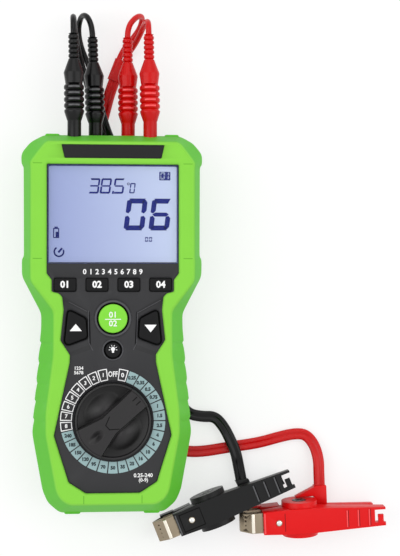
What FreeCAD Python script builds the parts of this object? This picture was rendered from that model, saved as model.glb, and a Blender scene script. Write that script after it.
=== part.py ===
import FreeCAD, Part
import math
import os

os.makedirs("parts", exist_ok=True)

# A handheld cable length counter with two four-wire clip leads, lying on its back on a table.
# Millimetres. Origin on the table under the middle of the meter, +Y towards the sockets,
# +X to the meter's right, +Z out of its face.

# ---------------------------------------------------------------- driving dimensions
# heights of the stack, from the table up
foot_height = 5.0            # the boot's four rear feet
boot_back_wall = 2.0         # boot rim behind the case
boot_lip = 1.8               # boot rim over the front panel
rubber_gap = 0.3             # between the boot and the case
case_wall = 2.0
panel_thickness = 3.0
rear_case_depth = 20.7
front_case_depth = 21.5
case_back = foot_height + boot_back_wall + rubber_gap
parting = case_back + rear_case_depth
panel_top = parting + front_case_depth
panel_under = panel_top - panel_thickness
boot_top = panel_top + rubber_gap + boot_lip
seam_gap = 0.05              # between the two case halves
fit_gap = 0.15               # between a trim piece and its seat
run_gap = 0.3                # between a key and its hole

# outlines, right half from the top edge to the bottom edge, mirrored in X
boot_waist_line = [(38.8, 108.0), (51.9, 97.4), (51.9, 91.4), (50.6, 90.2), (50.4, 38.4),
                   (52.2, 36.8), (52.1, 27.0), (40.6, 5.8), (40.6, -2.9), (42.2, -20.0),
                   (45.3, -55.0), (45.8, -62.5), (40.2, -95.5), (37.4, -102.5), (30.4, -108.4)]
boot_face_line = [(37.6, 102.2), (46.6, 91.4), (46.6, 89.2), (46.4, 88.0), (46.4, 37.8),
                  (46.6, 36.2), (46.4, 24.0), (33.6, 7.2), (33.6, -2.9), (33.7, -17.5),
                  (37.8, -49.0), (37.9, -62.0), (32.0, -94.5), (29.6, -98.8), (25.0, -103.4)]
boot_back_line = [(36.5, 105.4), (48.0, 94.8), (48.0, 90.4), (47.3, 89.2), (47.3, 38.9),
                  (48.2, 37.4), (48.2, 28.5), (37.4, 7.0), (37.4, -2.9), (38.8, -19.0),
                  (41.8, -54.5), (42.0, -62.0), (36.2, -94.3), (33.2, -100.5), (26.8, -105.6)]
case_line = [(35.5, 100.0), (43.4, 89.5), (43.4, 25.0), (31.2, 8.0), (31.3, -17.0),
             (35.3, -48.0), (35.5, -62.0), (29.4, -93.5), (23.0, -101.0)]
panel_line = [(36.8, 90.0), (36.8, 28.5), (34.3, 25.0), (34.3, 18.3), (28.6, 17.0),
              (27.6, 8.0), (29.3, -9.0), (23.9, -17.2), (23.9, -21.5), (32.4, -62.5),
              (24.2, -88.3), (15.0, -94.4)]
back_opening_line = [(28.0, 93.0), (37.0, 84.0), (37.0, 27.0), (28.4, 12.0), (28.4, -20.0),
                     (30.8, -48.0), (30.8, -62.0), (27.4, -90.5), (20.0, -96.5)]
waist_low = 16.0             # the boot is widest between these two heights
waist_high = 33.0
face_rim = 49.6              # where the boot's bevel meets its face
face_inset = 1.3             # the face's own edge is this much smaller
top_bumper = (30.0, 38.4, 108.7)      # inner X, outer X, Y of the two bumps at the top
bottom_bumper = (18.0, 27.4, -109.0)  # the same at the bottom
bumper_low = 12.0
bumper_high = 36.0
bumper_slope = 1.4
top_foot = (34.0, 46.0, 88.0, 101.0)  # X and Y limits of a rear foot at the top
bottom_foot = (21.0, 33.0, -103.0, -92.0)
badge_top = (28.8, 101.0)    # half width and Y of the badge's long edge
badge_bottom = (27.1, 93.3)
badge_recess = 0.6
badge_proud = 0.15

# display
window_half_width = 36.6
window_top = 89.7
window_bottom = 34.3
window_thickness = 1.5
window_step = 0.6            # how far the seat's step reaches under the window
lcd_margin = 0.6             # the glass sandwich runs this far past the window
lcd_thickness = 2.6
lcd_gap = 0.1                # between the sandwich and the panel
backlight_margin = 0.8
backlight_depth = 4.4

# main board
board_thickness = 1.6
board_under = 34.0
board_inset = 4.0            # from the case's outline
board_top_edge = 70.0
board_posts = [(37.5, 29.0), (25.0, -76.0)]   # and the same at -X
board_post_radius = 3.0
board_screw_radius = 1.2
board_screw_head = 2.3
board_screw_head_height = 1.4
board_screw_length = 6.0     # beyond the board
buzzer_place = (18.0, 14.0)
buzzer_step = (6.0, 4.5, 1.0)         # radius, radius of its face and the face's height
buzzer_height = 5.0
leg_radius = 2.0             # of the backlight's and the keypad mat's legs

# keys
key_row_y = 22.2
key_row_pitch = 17.9
key_width = 12.2
key_height = 7.3
key_corner = 1.0
key_proud = 1.2
key_flange = 0.9             # rim under the panel that keeps the key in
key_flange_depth = 1.3
key_travel = 0.8
key_rest_gap = key_travel + 0.3           # between a key and the mat's dome
arrow_key_line = [(15.3, 3.1), (23.6, 7.4), (25.2, 7.0), (27.0, -9.9), (25.2, -11.5), (14.5, -7.5)]
select_key_centre = (0.0, 3.2)
select_key_radius = 8.1
select_key_proud = 1.6
light_key_centre = (0.0, -14.5)
light_key_radius = 4.3
select_dish = (11.6, 9.0, 0.8)        # mouth radius, floor radius and depth round the round key
light_dish = (6.4, 5.0, 0.6)
wing_depth = 0.9             # the hollow that holds an arrow key
wing_mouth = [(13.0, 7.4), (27.6, 15.9), (29.4, 14.4), (30.2, -9.6), (24.2, -18.4), (12.2, -14.2)]
wing_floor = [(13.9, 4.9), (27.4, 12.7), (28.6, 11.6), (29.2, -8.9), (24.0, -15.2), (13.1, -11.2)]
mat_thickness = 2.4
mat_line = [(27.4, 27.4), (27.4, -12.4), (8.0, -20.4)]
mat_legs = [(22.0, 24.0), (22.0, -6.0)]

# selector
dial_centre = (0.0, -54.4)
dial_positions = 30
knob_radius = 21.3
knob_height = 8.0            # over the panel
knob_seat = 1.2              # depth of the well that it turns in
knob_clear = 0.4
knob_base = 2.4              # thickness under the two finger recesses
knob_rim = 1.4
knob_rim_height = 5.0
knob_bar_narrow = 11.4       # the bar's width at its pointer
knob_bar_middle = 10.6
knob_bar_wide = 20.0
knob_bar_flare = 3.0         # it widens from this far behind the middle
knob_angle = 48.0            # where the bar points, clockwise from +Y
shaft_radius = 4.0
shaft_clear = 0.05
label_gap = 1.6              # from the knob to the scale's inner edge
label_width = 6.7
label_inner = knob_radius + label_gap
label_outer = label_inner + label_width
label_thickness = 0.25
rotor_radius = 16.0
rotor_thickness = 2.0
rotor_hub_radius = 6.5
rotor_hub_height = 5.0
detent_radius = 13.0
detent_ball = 1.5
detent_depth = 0.5
detent_ring = 2.0

# sockets and plugs
outer_jack = (21.75, 34.0)   # X and Z of the outer pair
inner_jack = (9.5, 22.0)
neck_radius = 3.95
neck_gap = 0.2               # around a plug's neck in the socket
boot_jack_gap = 0.7          # and in the boot
contact_radius = 2.0         # 4 mm pin
contact_gap = 0.03
contact_wall = 0.7
contact_length = 18.0
contact_tail = (1.0, 3.0)    # radius, and how far it stands out of the block
shroud_radius = 3.0          # inside of the plug's shroud
shroud_depth = 19.5
jack_floor = 78.0            # Y of the socket's floor
jack_block_wall = 4.0
jack_block_low = 16.0
jack_block_high = 39.2
plug_tip_gap = 2.0           # between the shroud's end and the socket's floor
plug_neck_end = 116.4        # Y of the shoulders of a plug that is pushed home
plug_shoulder = 121.6
plug_body_end = 144.0
plug_cone_end = 151.4
plug_end = 166.4
plug_radius = 5.8
plug_leans = (0.6, 2.0, 0.4, 1.0)    # degrees each grip leans to -X, from -X to +X
plug_rib_start = 123.0
plug_rib_pitch = 3.5
plug_ribs = 4
plug_rib_depth = 0.9
relief_radius = 2.95
relief_groove_depth = 0.65
relief_rings = 5
lean_overlap = 0.3           # the leaning grip starts this far down the neck
plug_collar = 0.3            # and stands this far proud of it
pin_end = 118.0

# batteries: four AA cells across the meter
cell_radius = 7.15
cell_length = 50.0
cell_gap = 0.6
cell_count = 4
cell_first_y = -33.9
cell_nub = (2.6, 1.2)        # radius and height of a cell's positive end
cell_plate = (4.5, 0.4)      # half width and thickness of a contact plate
cell_bump = (3.4, 2.2)       # root and tip radius of its spring or bump
battery_box_half = cell_length / 2 + cell_nub[1] + 0.5
battery_box_wall = 1.4
battery_box_ends = (-88.0, -25.4)
door_half = battery_box_half - 0.5
door_ends = (-87.4, -26.0)
door_thickness = 2.0
door_gap = 0.3
door_screw = (0.0, -22.3)
door_screw_radius = 1.4
door_screw_head = 2.6
door_ear = 5.0

# case screws
case_screw_places = [(32.1, 94.9), (-32.1, 94.9), (23.2, -94.0), (-23.2, -94.0)]
case_post_radius = 3.4
jack_block_half = case_screw_places[0][0] - case_post_radius - 0.7
case_screw_radius = 1.5
case_screw_head = 2.7
case_screw_head_depth = 2.0
case_screw_seat = 20.0
screw_play = 0.05

# tilt stand
stand_half = 18.5
stand_hinge = (52.0, 4.6)    # Y and Z of its pivot
stand_end = -16.0
stand_thickness = 2.0
stand_barrel = 1.8
stand_pin = 1.0
stand_ear = 3.0
stand_ear_gap = 0.3
stand_hole_gap = 0.05

# test leads
lead_diameter = 3.4
twin_width = 6.8
splitter_width = 8.6
splitter_thickness = 4.6
splitter_pitch = 3.9         # between the two leads that enter it

# clips, in a frame of their own: x from the nose to the tail, z up from the lower lever's back
clip_length = 85.5
clip_height = 24.0
clip_nose = 13.0             # where the plastic starts
clip_nose_half = 6.6
clip_body_half = 7.3
clip_tail_half = 5.45
clip_wall = 1.6
clip_plate = 2.0
clip_pivot = 36.0
clip_boss_radius = 10.5
clip_boss_proud = 3.0
clip_lower_end = 82.0
clip_chin = (5.5, 7.1, 7.4)  # the lower lever's front end, its half width and its height there
clip_side_gap = 0.35
clip_shaft = 1.6
clip_shaft_gap = 0.05
clip_screw_head = 4.2
clip_screw_head_depth = 0.9
jaw_thickness = 0.8
jaw_half = 5.9
jaw_tongue_half = 3.7
jaw_bend = 6.3
jaw_gap = 0.15               # from the clip's middle plane to each jaw
rivet_place = 22.0
rivet_radius = 1.2
rivet_head = 1.75
rivet_head_height = 0.7
coil_outer = 4.4
coil_inner = 3.1
coil_half = 3.5
coil_leg = 0.6
sleeve_width = 7.6
sleeve_height = 5.6
sleeve_low = 1.3
sleeve_root = 3.2            # how near the sleeve comes to the clip's middle
clip_lift = 1.15             # lets the lower rivet clear the table
# nose point, heading and roll of each clip, then where its sleeve leaves the lever, how far the
# sleeve reaches past the boss and how far it leans to the tail
red_clip = {"nose": (75.9, -117.0), "heading": 2.9, "roll": 3.5,
            "exit": 50.0, "reach": 6.2, "lean": 0.0}
black_clip = {"nose": (26.6, -124.0), "heading": 21.5, "roll": -3.0,
              "exit": 59.0, "reach": -2.0, "lean": 11.0}

# cord routes between their fixed ends, chosen by hand
lead_straight = (5.5, 6.2, 6.0, 4.8)   # the first run of each lead, from -X to +X
black_outer_route = [(-22.5, 177.4, 28.6), (-22.2, 177.5, 20.4), (-21.6, 171.9, 14.2),
                     (-19.9, 162.0, 9.0)]
black_inner_route = [(-14.6, 179.9, 18.4), (-18.0, 180.6, 10.8), (-19.7, 173.6, 5.4),
                     (-18.0, 163.6, 3.0)]
red_inner_route = [(14.2, 179.4, 18.6), (18.6, 181.2, 11.4), (17.4, 175.2, 5.4),
                   (12.2, 168.4, 2.6)]
red_outer_route = [(20.6, 175.3, 28.4), (19.0, 174.5, 20.6), (16.8, 169.7, 13.4),
                   (13.8, 164.6, 6.6)]
black_splitter_ends = [(-13.2, 146.2, 4.8), (-9.2, 133.2, 6.0)]
red_splitter_ends = [(6.6, 156.0, 2.4), (1.9, 143.7, 2.4)]
splitter_straight = 5.5      # how far the cords run on straight at both ends of a splitter
black_twin_route = [(-5.6, 120.8, 6.1), (-2.9, 112.6, 5.4), (0.4, 105.4, 2.4),
                    (4.6, 98.4, 1.8), (12.0, 89.6, 1.8), (21.8, 80.4, 1.8),
                    (32.2, 71.8, 1.8), (38.2, 59.0, 1.8), (37.9, 38.0, 1.8), (38.5, 12.0, 1.8),
                    (38.1, -14.0, 1.8), (38.7, -33.0, 1.8), (40.0, -46.6, 1.8),
                    (46.0, -55.0, 1.9), (54.6, -56.8, 2.2), (62.2, -56.6, 3.0),
                    (67.4, -62.6, 4.9), (71.4, -70.6, 6.2), (74.6, -78.0, 6.2)]
red_twin_route = [(-1.9, 132.4, 1.8), (-4.4, 122.6, 1.8), (-6.8, 114.4, 1.8),
                  (-9.3, 106.8, 1.8), (-8.2, 99.0, 1.8), (-3.0, 92.2, 1.8), (5.2, 84.6, 1.8),
                  (14.0, 75.4, 1.8),
                  (25.8, 65.4, 1.8), (31.2, 52.6, 1.8), (30.8, 33.0, 1.8), (31.3, 10.0, 1.8),
                  (30.9, -14.0, 1.8), (31.8, -38.0, 1.8), (31.4, -56.0, 1.8),
                  (34.4, -69.0, 1.8), (42.4, -77.4, 1.8), (54.4, -77.9, 1.8),
                  (71.0, -75.2, 1.8), (88.6, -72.9, 1.8), (101.6, -69.3, 1.8),
                  (110.8, -67.4, 1.8), (117.6, -68.0, 2.2), (122.4, -74.0, 3.8),
                  (124.6, -82.4, 6.0)]


# ---------------------------------------------------------------- helpers
def point(x, y, z):
    return FreeCAD.Vector(x, y, z)


def mirrored(half):
    """The whole outline from its right half."""
    return half + [(-x, y) for x, y in reversed(half)]


def inset(line, distance):
    """The right half of an outline moved inwards, corner by corner."""
    whole = mirrored(line)
    count = len(whole)
    moved = []
    for index in range(len(line)):
        before = whole[index - 1]
        here = whole[index]
        after = whole[(index + 1) % count]
        first = (here[0] - before[0], here[1] - before[1])
        second = (after[0] - here[0], after[1] - here[1])
        first_length = math.hypot(*first)
        second_length = math.hypot(*second)
        normal_a = (first[1] / first_length, -first[0] / first_length)
        normal_b = (second[1] / second_length, -second[0] / second_length)
        share = distance / (1.0 + normal_a[0] * normal_b[0] + normal_a[1] * normal_b[1])
        moved.append((here[0] + share * (normal_a[0] + normal_b[0]),
                      here[1] + share * (normal_a[1] + normal_b[1])))
    return moved


def outline_wire(points, z):
    corners = [point(x, y, z) for x, y in points]
    return Part.makePolygon(corners + corners[:1])


def prism(points, low, high):
    return Part.Face(outline_wire(points, low)).extrude(point(0, 0, high - low))


def side_prism(points, half):
    """A profile in x and z, extruded to both sides of y = 0."""
    corners = [point(x, -half, z) for x, z in points]
    return Part.Face(Part.makePolygon(corners + corners[:1])).extrude(point(0, 2 * half, 0))


def block(x0, x1, y0, y1, z0, z1):
    return Part.makeBox(x1 - x0, y1 - y0, z1 - z0, point(x0, y0, z0))


def upright(radius, x, y, low, high):
    return Part.makeCylinder(radius, high - low, point(x, y, low))


def along_y(radius, x, z, start, end):
    return Part.makeCylinder(radius, end - start, point(x, start, z), point(0, 1, 0))


def fuse(shapes):
    return shapes[0].fuse(shapes[1:]).removeSplitter()


def group(shapes):
    return Part.makeCompound(shapes)


def export(shape, node):
    if not shape.isValid():
        print("not valid:", node)
    shape.exportStep("parts/" + node + ".step")
    print(node, "solids", len(shape.Solids), "volume", round(shape.Volume, 1))


# ---------------------------------------------------------------- boot
def mirrored_blocks(limits, low, high):
    x0, x1, y0, y1 = limits
    return [block(x0, x1, y0, y1, low, high), block(-x1, -x0, y0, y1, low, high)]


def bumpers(limits, root):
    inner, outer, edge = limits
    half = [(inner - bumper_slope, root), (inner, edge), (outer, edge), (outer + bumper_slope, root)]
    other = [(-x, y) for x, y in half]
    return [prism(half, bumper_low, bumper_high), prism(other, bumper_low, bumper_high)]


def badge_outline(gap):
    right = [(badge_top[0] + gap, badge_top[1] + gap), (badge_bottom[0] + gap, badge_bottom[1] - gap)]
    return mirrored(right)


def rubber_boot():
    levels = [(boot_back_line, foot_height), (boot_waist_line, waist_low),
              (boot_waist_line, waist_high), (boot_face_line, face_rim),
              (inset(boot_face_line, face_inset), boot_top)]
    wires = [outline_wire(mirrored(line), z) for line, z in levels]
    parts = [Part.makeLoft(wires, True, True)]
    parts += bumpers(top_bumper, boot_waist_line[0][1] - 4.0)
    parts += bumpers(bottom_bumper, boot_waist_line[-1][1] + 4.0)
    parts += mirrored_blocks(top_foot, 0.0, foot_height + 1.0)
    parts += mirrored_blocks(bottom_foot, 0.0, foot_height + 1.0)
    body = fuse(parts)
    body = body.cut(prism(mirrored(inset(case_line, -rubber_gap)), foot_height + boot_back_wall,
                          panel_top + rubber_gap))
    body = body.cut(prism(mirrored(inset(panel_line, -fit_gap)), panel_top - 1.0, boot_top + 1.0))
    body = body.cut(prism(mirrored(back_opening_line), foot_height - 1.0, case_back + 1.0))
    body = body.cut(prism(badge_outline(fit_gap), boot_top - badge_recess, boot_top + 1.0))
    for x, z in jack_places():
        body = body.cut(along_y(neck_radius + boot_jack_gap, x, z, case_line[0][1] - 1.0,
                                top_bumper[2] + 5.0))
    return body


def badge_plate():
    return prism(badge_outline(0.0), boot_top - badge_recess, boot_top + badge_proud)


# ---------------------------------------------------------------- case
def jack_places():
    return [(-outer_jack[0], outer_jack[1]), (-inner_jack[0], inner_jack[1]),
            (inner_jack[0], inner_jack[1]), outer_jack]


def case_shell(low, high, floor_low, floor_high):
    """A tray with the case's outline: its floor lies between floor_low and floor_high."""
    outside = prism(mirrored(case_line), low, high)
    if floor_low > low:
        hollow = (low - 1.0, floor_low)
    else:
        hollow = (floor_high, high + 1.0)
    return outside.cut(prism(mirrored(inset(case_line, case_wall)), hollow[0], hollow[1]))


def battery_box_solid():
    """Walls and roof of the battery box, open to the back."""
    low_y, high_y = battery_box_ends
    roof = battery_roof()
    outer = block(-battery_box_half - battery_box_wall, battery_box_half + battery_box_wall,
                  low_y - battery_box_wall, high_y + battery_box_wall,
                  case_back, roof + battery_box_wall)
    inner = block(-battery_box_half, battery_box_half, low_y, high_y, case_back - 1.0, roof)
    return outer.cut(inner)


def battery_roof():
    return case_back + door_thickness + 2 * cell_radius + 2 * cell_gap


def rear_case():
    body = case_shell(case_back, parting - seam_gap, case_back, case_back + case_wall)
    posts = [upright(case_post_radius, x, y, case_back, parting - seam_gap)
             for x, y in case_screw_places]
    ribs = [block(x - 1.0, x + 1.0, jack_floor - 2.0, case_line[0][1] - case_wall, case_back,
                  jack_block_low) for x in (-17.0, 17.0)]
    hinge_y, hinge_z = stand_hinge
    ear_inner = stand_half + stand_ear_gap
    ears = []
    for side in (-1, 1):
        x0, x1 = sorted((side * ear_inner, side * (ear_inner + stand_ear)))
        ears.append(block(x0, x1, hinge_y - 3.0, hinge_y + 3.0, hinge_z - stand_barrel,
                          case_back + case_wall))
    body = fuse([body, battery_box_solid()] + posts + ribs + ears)
    for x, y in case_screw_places:
        body = body.cut(upright(case_screw_radius + screw_play, x, y, case_back - 1.0, parting + 1.0))
        body = body.cut(upright(case_screw_head + 0.2, x, y, case_back - 1.0, case_screw_seat))
    hole = stand_pin + stand_hole_gap
    body = body.cut(Part.makeCylinder(hole, 2 * (ear_inner + stand_ear) + 2.0,
                                      point(-ear_inner - stand_ear - 1.0, hinge_y, hinge_z),
                                      point(1, 0, 0)))
    gap = door_gap
    body = body.cut(block(-door_half - gap, door_half + gap, door_ends[0] - gap, door_ends[1] + gap,
                          case_back - 1.0, case_back + door_thickness + gap))
    ear = upright(door_ear + gap, door_screw[0], door_screw[1] - 0.8, case_back - 1.0,
                  case_back + door_thickness)
    body = body.cut(ear)
    pillar = upright(door_ear, door_screw[0], door_screw[1] - 0.8, case_back + door_thickness,
                     case_back + 12.0)
    pillar = pillar.cut(block(-battery_box_half, battery_box_half, battery_box_ends[0],
                              battery_box_ends[1], case_back, parting))
    body = fuse([body, pillar])
    body = body.cut(upright(door_screw_radius + screw_play, door_screw[0], door_screw[1],
                            case_back - 1.0, case_back + 10.0))
    x, z = inner_jack
    for side in (-1, 1):
        body = body.cut(along_y(neck_radius + neck_gap, side * x, z, case_line[0][1] - 4.0,
                                case_line[0][1] + 1.0))
    return body


def key_plan(grow):
    """Centre, half width and half height of the four keys in a row."""
    return [((index - 1.5) * key_row_pitch, key_row_y, key_width / 2 + grow, key_height / 2 + grow)
            for index in range(4)]


def rounded_block(centre_x, centre_y, half_x, half_y, low, high):
    body = block(centre_x - half_x, centre_x + half_x, centre_y - half_y, centre_y + half_y, low, high)
    upright_edges = [edge for edge in body.Edges
                     if abs(edge.Vertexes[0].Z - edge.Vertexes[-1].Z) > (high - low) * 0.9]
    return body.makeFillet(key_corner, upright_edges)


def arrow_line(side, grow):
    """Outline of the up key (side -1) or the down key (side 1), grown all round."""
    points = [(x * side, y) for x, y in arrow_key_line]
    face = Part.Face(outline_wire(points, 0.0))
    if grow > 0.0:
        face = face.makeOffset2D(grow)
    return face


def arrow_prism(side, grow, low, high):
    face = arrow_line(side, grow)
    face.translate(point(0, 0, low))
    return face.extrude(point(0, 0, high - low))


def arrow_wing(side):
    """The hollow round an arrow key, wider at its mouth."""
    levels = [(wing_floor, panel_top - wing_depth), (wing_mouth, panel_top)]
    wires = [outline_wire([(side * x, y) for x, y in line], z) for line, z in levels]
    return Part.makeLoft(wires, True, True)


def key_dish(centre, sizes):
    """The conical hollow round a round key."""
    mouth, floor, depth = sizes
    return Part.makeCone(floor, mouth, depth, point(centre[0], centre[1], panel_top - depth))


def knob_well_floor():
    return panel_top - knob_seat


def front_case():
    body = case_shell(parting, panel_top, panel_under, panel_top)
    posts = [upright(case_post_radius, x, y, parting, panel_under) for x, y in case_screw_places]
    board_posts = [upright(board_post_radius, x, y, board_under + board_thickness, panel_under)
                   for x, y in board_post_places()]
    cx, cy = dial_centre
    ring = upright(detent_radius + detent_ring, cx, cy, detent_plane(), panel_under)
    body = fuse([body, ring] + posts + board_posts)
    ring_hole = upright(detent_radius - detent_ring, cx, cy, detent_plane() - 1.0, panel_under)
    body = body.cut(ring_hole)
    step = window_step
    body = body.cut(block(-window_half_width - fit_gap, window_half_width + fit_gap,
                          window_bottom - fit_gap, window_top + fit_gap,
                          panel_top - window_thickness - 0.05, panel_top + 1.0))
    body = body.cut(block(-window_half_width + step, window_half_width - step, window_bottom + step,
                          window_top - step, panel_under - 1.0, panel_top))
    for x, y, half_x, half_y in key_plan(run_gap):
        body = body.cut(rounded_block(x, y, half_x, half_y, panel_under - 1.0, panel_top + 1.0))
    for side in (-1, 1):
        body = body.cut(arrow_wing(side))
        body = body.cut(arrow_prism(side, run_gap, panel_under - 1.0, panel_top + 1.0))
    for centre, radius, dish in ((select_key_centre, select_key_radius, select_dish),
                                 (light_key_centre, light_key_radius, light_dish)):
        body = body.cut(key_dish(centre, dish))
        body = body.cut(upright(radius + run_gap, centre[0], centre[1], panel_under - 1.0,
                                panel_top + 1.0))
    body = body.cut(upright(knob_radius + knob_clear, cx, cy, knob_well_floor(), panel_top + 1.0))
    body = body.cut(upright(shaft_radius + shaft_clear, cx, cy, panel_under - 1.0, panel_top))
    for index in range(dial_positions):
        angle = 2 * math.pi * index / dial_positions
        ball = Part.makeSphere(detent_ball, point(cx + detent_radius * math.sin(angle),
                                                  cy + detent_radius * math.cos(angle),
                                                  detent_plane() - detent_ball + detent_depth))
        body = body.cut(ball)
    for x, y in case_screw_places:
        body = body.cut(upright(case_screw_radius + screw_play, x, y, parting - 1.0, panel_under - 4.0))
    for x, y in board_post_places():
        body = body.cut(upright(board_screw_radius + screw_play, x, y, board_under,
                                board_under + board_thickness + board_screw_length + 1.0))
    x, z = outer_jack
    for side in (-1, 1):
        body = body.cut(along_y(neck_radius + neck_gap, side * x, z, case_line[0][1] - 4.0,
                                case_line[0][1] + 1.0))
    return body


def display_window():
    return block(-window_half_width, window_half_width, window_bottom, window_top,
                 panel_top - window_thickness, panel_top)


# ---------------------------------------------------------------- inside the case
def lcd_top():
    return panel_under - lcd_gap


def lcd_module():
    margin = lcd_margin
    return block(-window_half_width - margin, window_half_width + margin, window_bottom - margin,
                 window_top + margin, lcd_top() - lcd_thickness, lcd_top())


def backlight_frame():
    margin = lcd_margin + backlight_margin
    top = lcd_top() - lcd_thickness
    low = top - backlight_depth
    tray = block(-window_half_width - margin, window_half_width + margin, window_bottom - margin,
                 window_top + margin, low, top)
    legs = [upright(leg_radius, x, y, board_under + board_thickness, low + 1.0)
            for x in (-24.0, 24.0) for y in (window_bottom + 6.0, board_top_edge - 6.0)]
    return fuse([tray] + legs)


def board_post_places():
    return [(side * x, y) for x, y in board_posts for side in (-1, 1)]


def main_board():
    top = board_under + board_thickness
    body = prism(mirrored(inset(case_line, board_inset)), board_under, top)
    body = body.cut(block(-60.0, 60.0, board_top_edge, 120.0, board_under - 1.0, top + 1.0))
    for x, y in board_post_places():
        body = body.cut(upright(board_screw_radius + screw_play, x, y, board_under - 1.0, top + 1.0))
    for x, y in case_screw_places:
        body = body.cut(upright(case_post_radius + 0.5, x, y, board_under - 1.0, top + 1.0))
    return body


def board_screws():
    screws = []
    for x, y in board_post_places():
        shank = upright(board_screw_radius, x, y, board_under - 0.1,
                        board_under + board_thickness + board_screw_length)
        head = upright(board_screw_head, x, y, board_under - board_screw_head_height, board_under)
        screws.append(fuse([shank, head]))
    return group(screws)


def mat_top():
    return panel_under - 0.2 - key_flange_depth - key_rest_gap


def keypad_mat():
    top = mat_top()
    low = top - mat_thickness
    body = prism(mirrored(mat_line), low, top)
    legs = [upright(leg_radius, side * x, y, board_under + board_thickness, low + 0.5)
            for x, y in mat_legs for side in (-1, 1)]
    return fuse([body] + legs)


def key_levels(proud):
    """Bottom, flange top and top of a key."""
    flange_top = panel_under - 0.2
    return flange_top - key_flange_depth, flange_top, panel_top + proud


def mode_key(index):
    low, shoulder, top = key_levels(key_proud)
    x, y, half_x, half_y = key_plan(0.0)[index]
    cap = rounded_block(x, y, half_x, half_y, low, top)
    flange = rounded_block(x, y, half_x + key_flange, half_y + key_flange, low, shoulder)
    return fuse([cap, flange])


def round_key(centre, radius, proud):
    low, shoulder, top = key_levels(proud)
    cap = upright(radius, centre[0], centre[1], low, top)
    return fuse([cap, upright(radius + key_flange, centre[0], centre[1], low, shoulder)])


def arrow_key(side):
    low, shoulder, top = key_levels(key_proud)
    return fuse([arrow_prism(side, 0.0, low, top), arrow_prism(side, key_flange, low, shoulder)])


def turned(shape, centre, degrees):
    """The shape turned clockwise about a vertical line through the centre."""
    copy = shape.copy()
    copy.rotate(point(centre[0], centre[1], 0), point(0, 0, 1), -degrees)
    return copy


def selector_knob():
    cx, cy = dial_centre
    low = knob_well_floor() + 0.1
    top = panel_top + knob_height
    body = upright(knob_radius, cx, cy, low, top)
    reach = knob_radius + 1.0
    inner = upright(knob_radius - knob_rim, cx, cy, low + knob_base, top + 1.0)
    right = [(knob_bar_wide / 2, -reach), (knob_bar_middle / 2, -knob_bar_flare),
             (knob_bar_narrow / 2, reach)]
    bar = prism([(cx + x, cy + y) for x, y in mirrored(right)], low - 1.0, top + 2.0)
    recesses = inner.cut(bar)
    rim_cut = upright(reach, cx, cy, low + knob_rim_height, top + 1.0).cut(bar)
    body = body.cut(recesses)
    body = body.cut(rim_cut)
    shaft = upright(shaft_radius, cx, cy, rotor_top() - 1.0, low + 0.5)
    pocket = upright(1.8, cx, cy + 0.72 * knob_radius, top - 0.8, top + 1.0)
    body = turned(fuse([body.cut(pocket), shaft]), dial_centre, knob_angle)
    return body


def rotor_top():
    return rotor_low() + rotor_thickness


def rotor_low():
    return board_under + board_thickness + 2.0


def detent_plane():
    return rotor_top() + 3.4


def detent_places():
    cx, cy = dial_centre
    step = 2 * math.pi / dial_positions
    return [(cx + detent_radius * math.sin(step * turn), cy + detent_radius * math.cos(step * turn))
            for turn in (4, 19)]


def switch_rotor():
    cx, cy = dial_centre
    disc = upright(rotor_radius, cx, cy, rotor_low(), rotor_top())
    hub = upright(rotor_hub_radius, cx, cy, rotor_low(), rotor_low() + rotor_hub_height)
    cups = [upright(detent_ball + 1.2, x, y, rotor_low(), rotor_top() + 1.6)
            for x, y in detent_places()]
    wipers = [block(cx - 1.0, cx + 1.0, cy + side * 10.0 - 3.0, cy + side * 10.0 + 3.0,
                    board_under + board_thickness + 0.1, rotor_low()) for side in (-1, 1)]
    body = fuse([disc, hub] + cups + wipers)
    body = body.cut(upright(shaft_radius, cx, cy, rotor_top() - 1.0, rotor_low() + rotor_hub_height + 1.0))
    for x, y in detent_places():
        body = body.cut(upright(detent_ball + 0.1, x, y, rotor_low() + 0.6, rotor_top() + 3.0))
    return body


def ball_height():
    return detent_plane() - 0.05 - detent_ball


def detent_balls():
    return group([Part.makeSphere(detent_ball, point(x, y, ball_height())) for x, y in detent_places()])


def detent_springs():
    springs = []
    for x, y in detent_places():
        low = rotor_low() + 0.6
        high = ball_height() - detent_ball
        outside = upright(detent_ball - 0.1, x, y, low, high)
        springs.append(outside.cut(upright(detent_ball - 0.7, x, y, low - 1.0, high + 1.0)))
    return group(springs)


def dial_ring():
    cx, cy = dial_centre
    outside = upright(label_outer, cx, cy, panel_top, panel_top + label_thickness)
    return outside.cut(upright(label_inner, cx, cy, panel_top - 1.0, panel_top + 1.0))


def buzzer():
    x, y = buzzer_place
    radius, face_radius, face_height = buzzer_step
    low = board_under - buzzer_height
    return fuse([upright(radius, x, y, low, board_under),
                 upright(face_radius, x, y, low - face_height, board_under)])


# ---------------------------------------------------------------- sockets
def jack_block():
    back = jack_floor - jack_block_wall
    front = case_line[0][1] - case_wall
    body = block(-jack_block_half, jack_block_half, back, front, jack_block_low, jack_block_high)
    for x, z in jack_places():
        body = body.cut(along_y(neck_radius + neck_gap, x, z, jack_floor, front + 1.0))
        body = body.cut(along_y(contact_tail[0] + contact_gap, x, z, back - 1.0, jack_floor + 1.0))
    return body


def input_jacks():
    jacks = []
    inner = contact_radius + contact_gap
    for x, z in jack_places():
        open_end = jack_floor + contact_length
        contact = along_y(inner + contact_wall, x, z, jack_floor, open_end)
        contact = contact.cut(along_y(inner, x, z, jack_floor + contact_wall, open_end + 1.0))
        tail = along_y(contact_tail[0], x, z, jack_floor - jack_block_wall - contact_tail[1],
                       jack_floor + contact_wall / 2)
        jacks.append(fuse([contact, tail]))
    return group(jacks)


# ---------------------------------------------------------------- batteries
def cell_rows():
    pitch = 2 * cell_radius + cell_gap
    return [cell_first_y - index * pitch for index in range(cell_count)]


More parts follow.
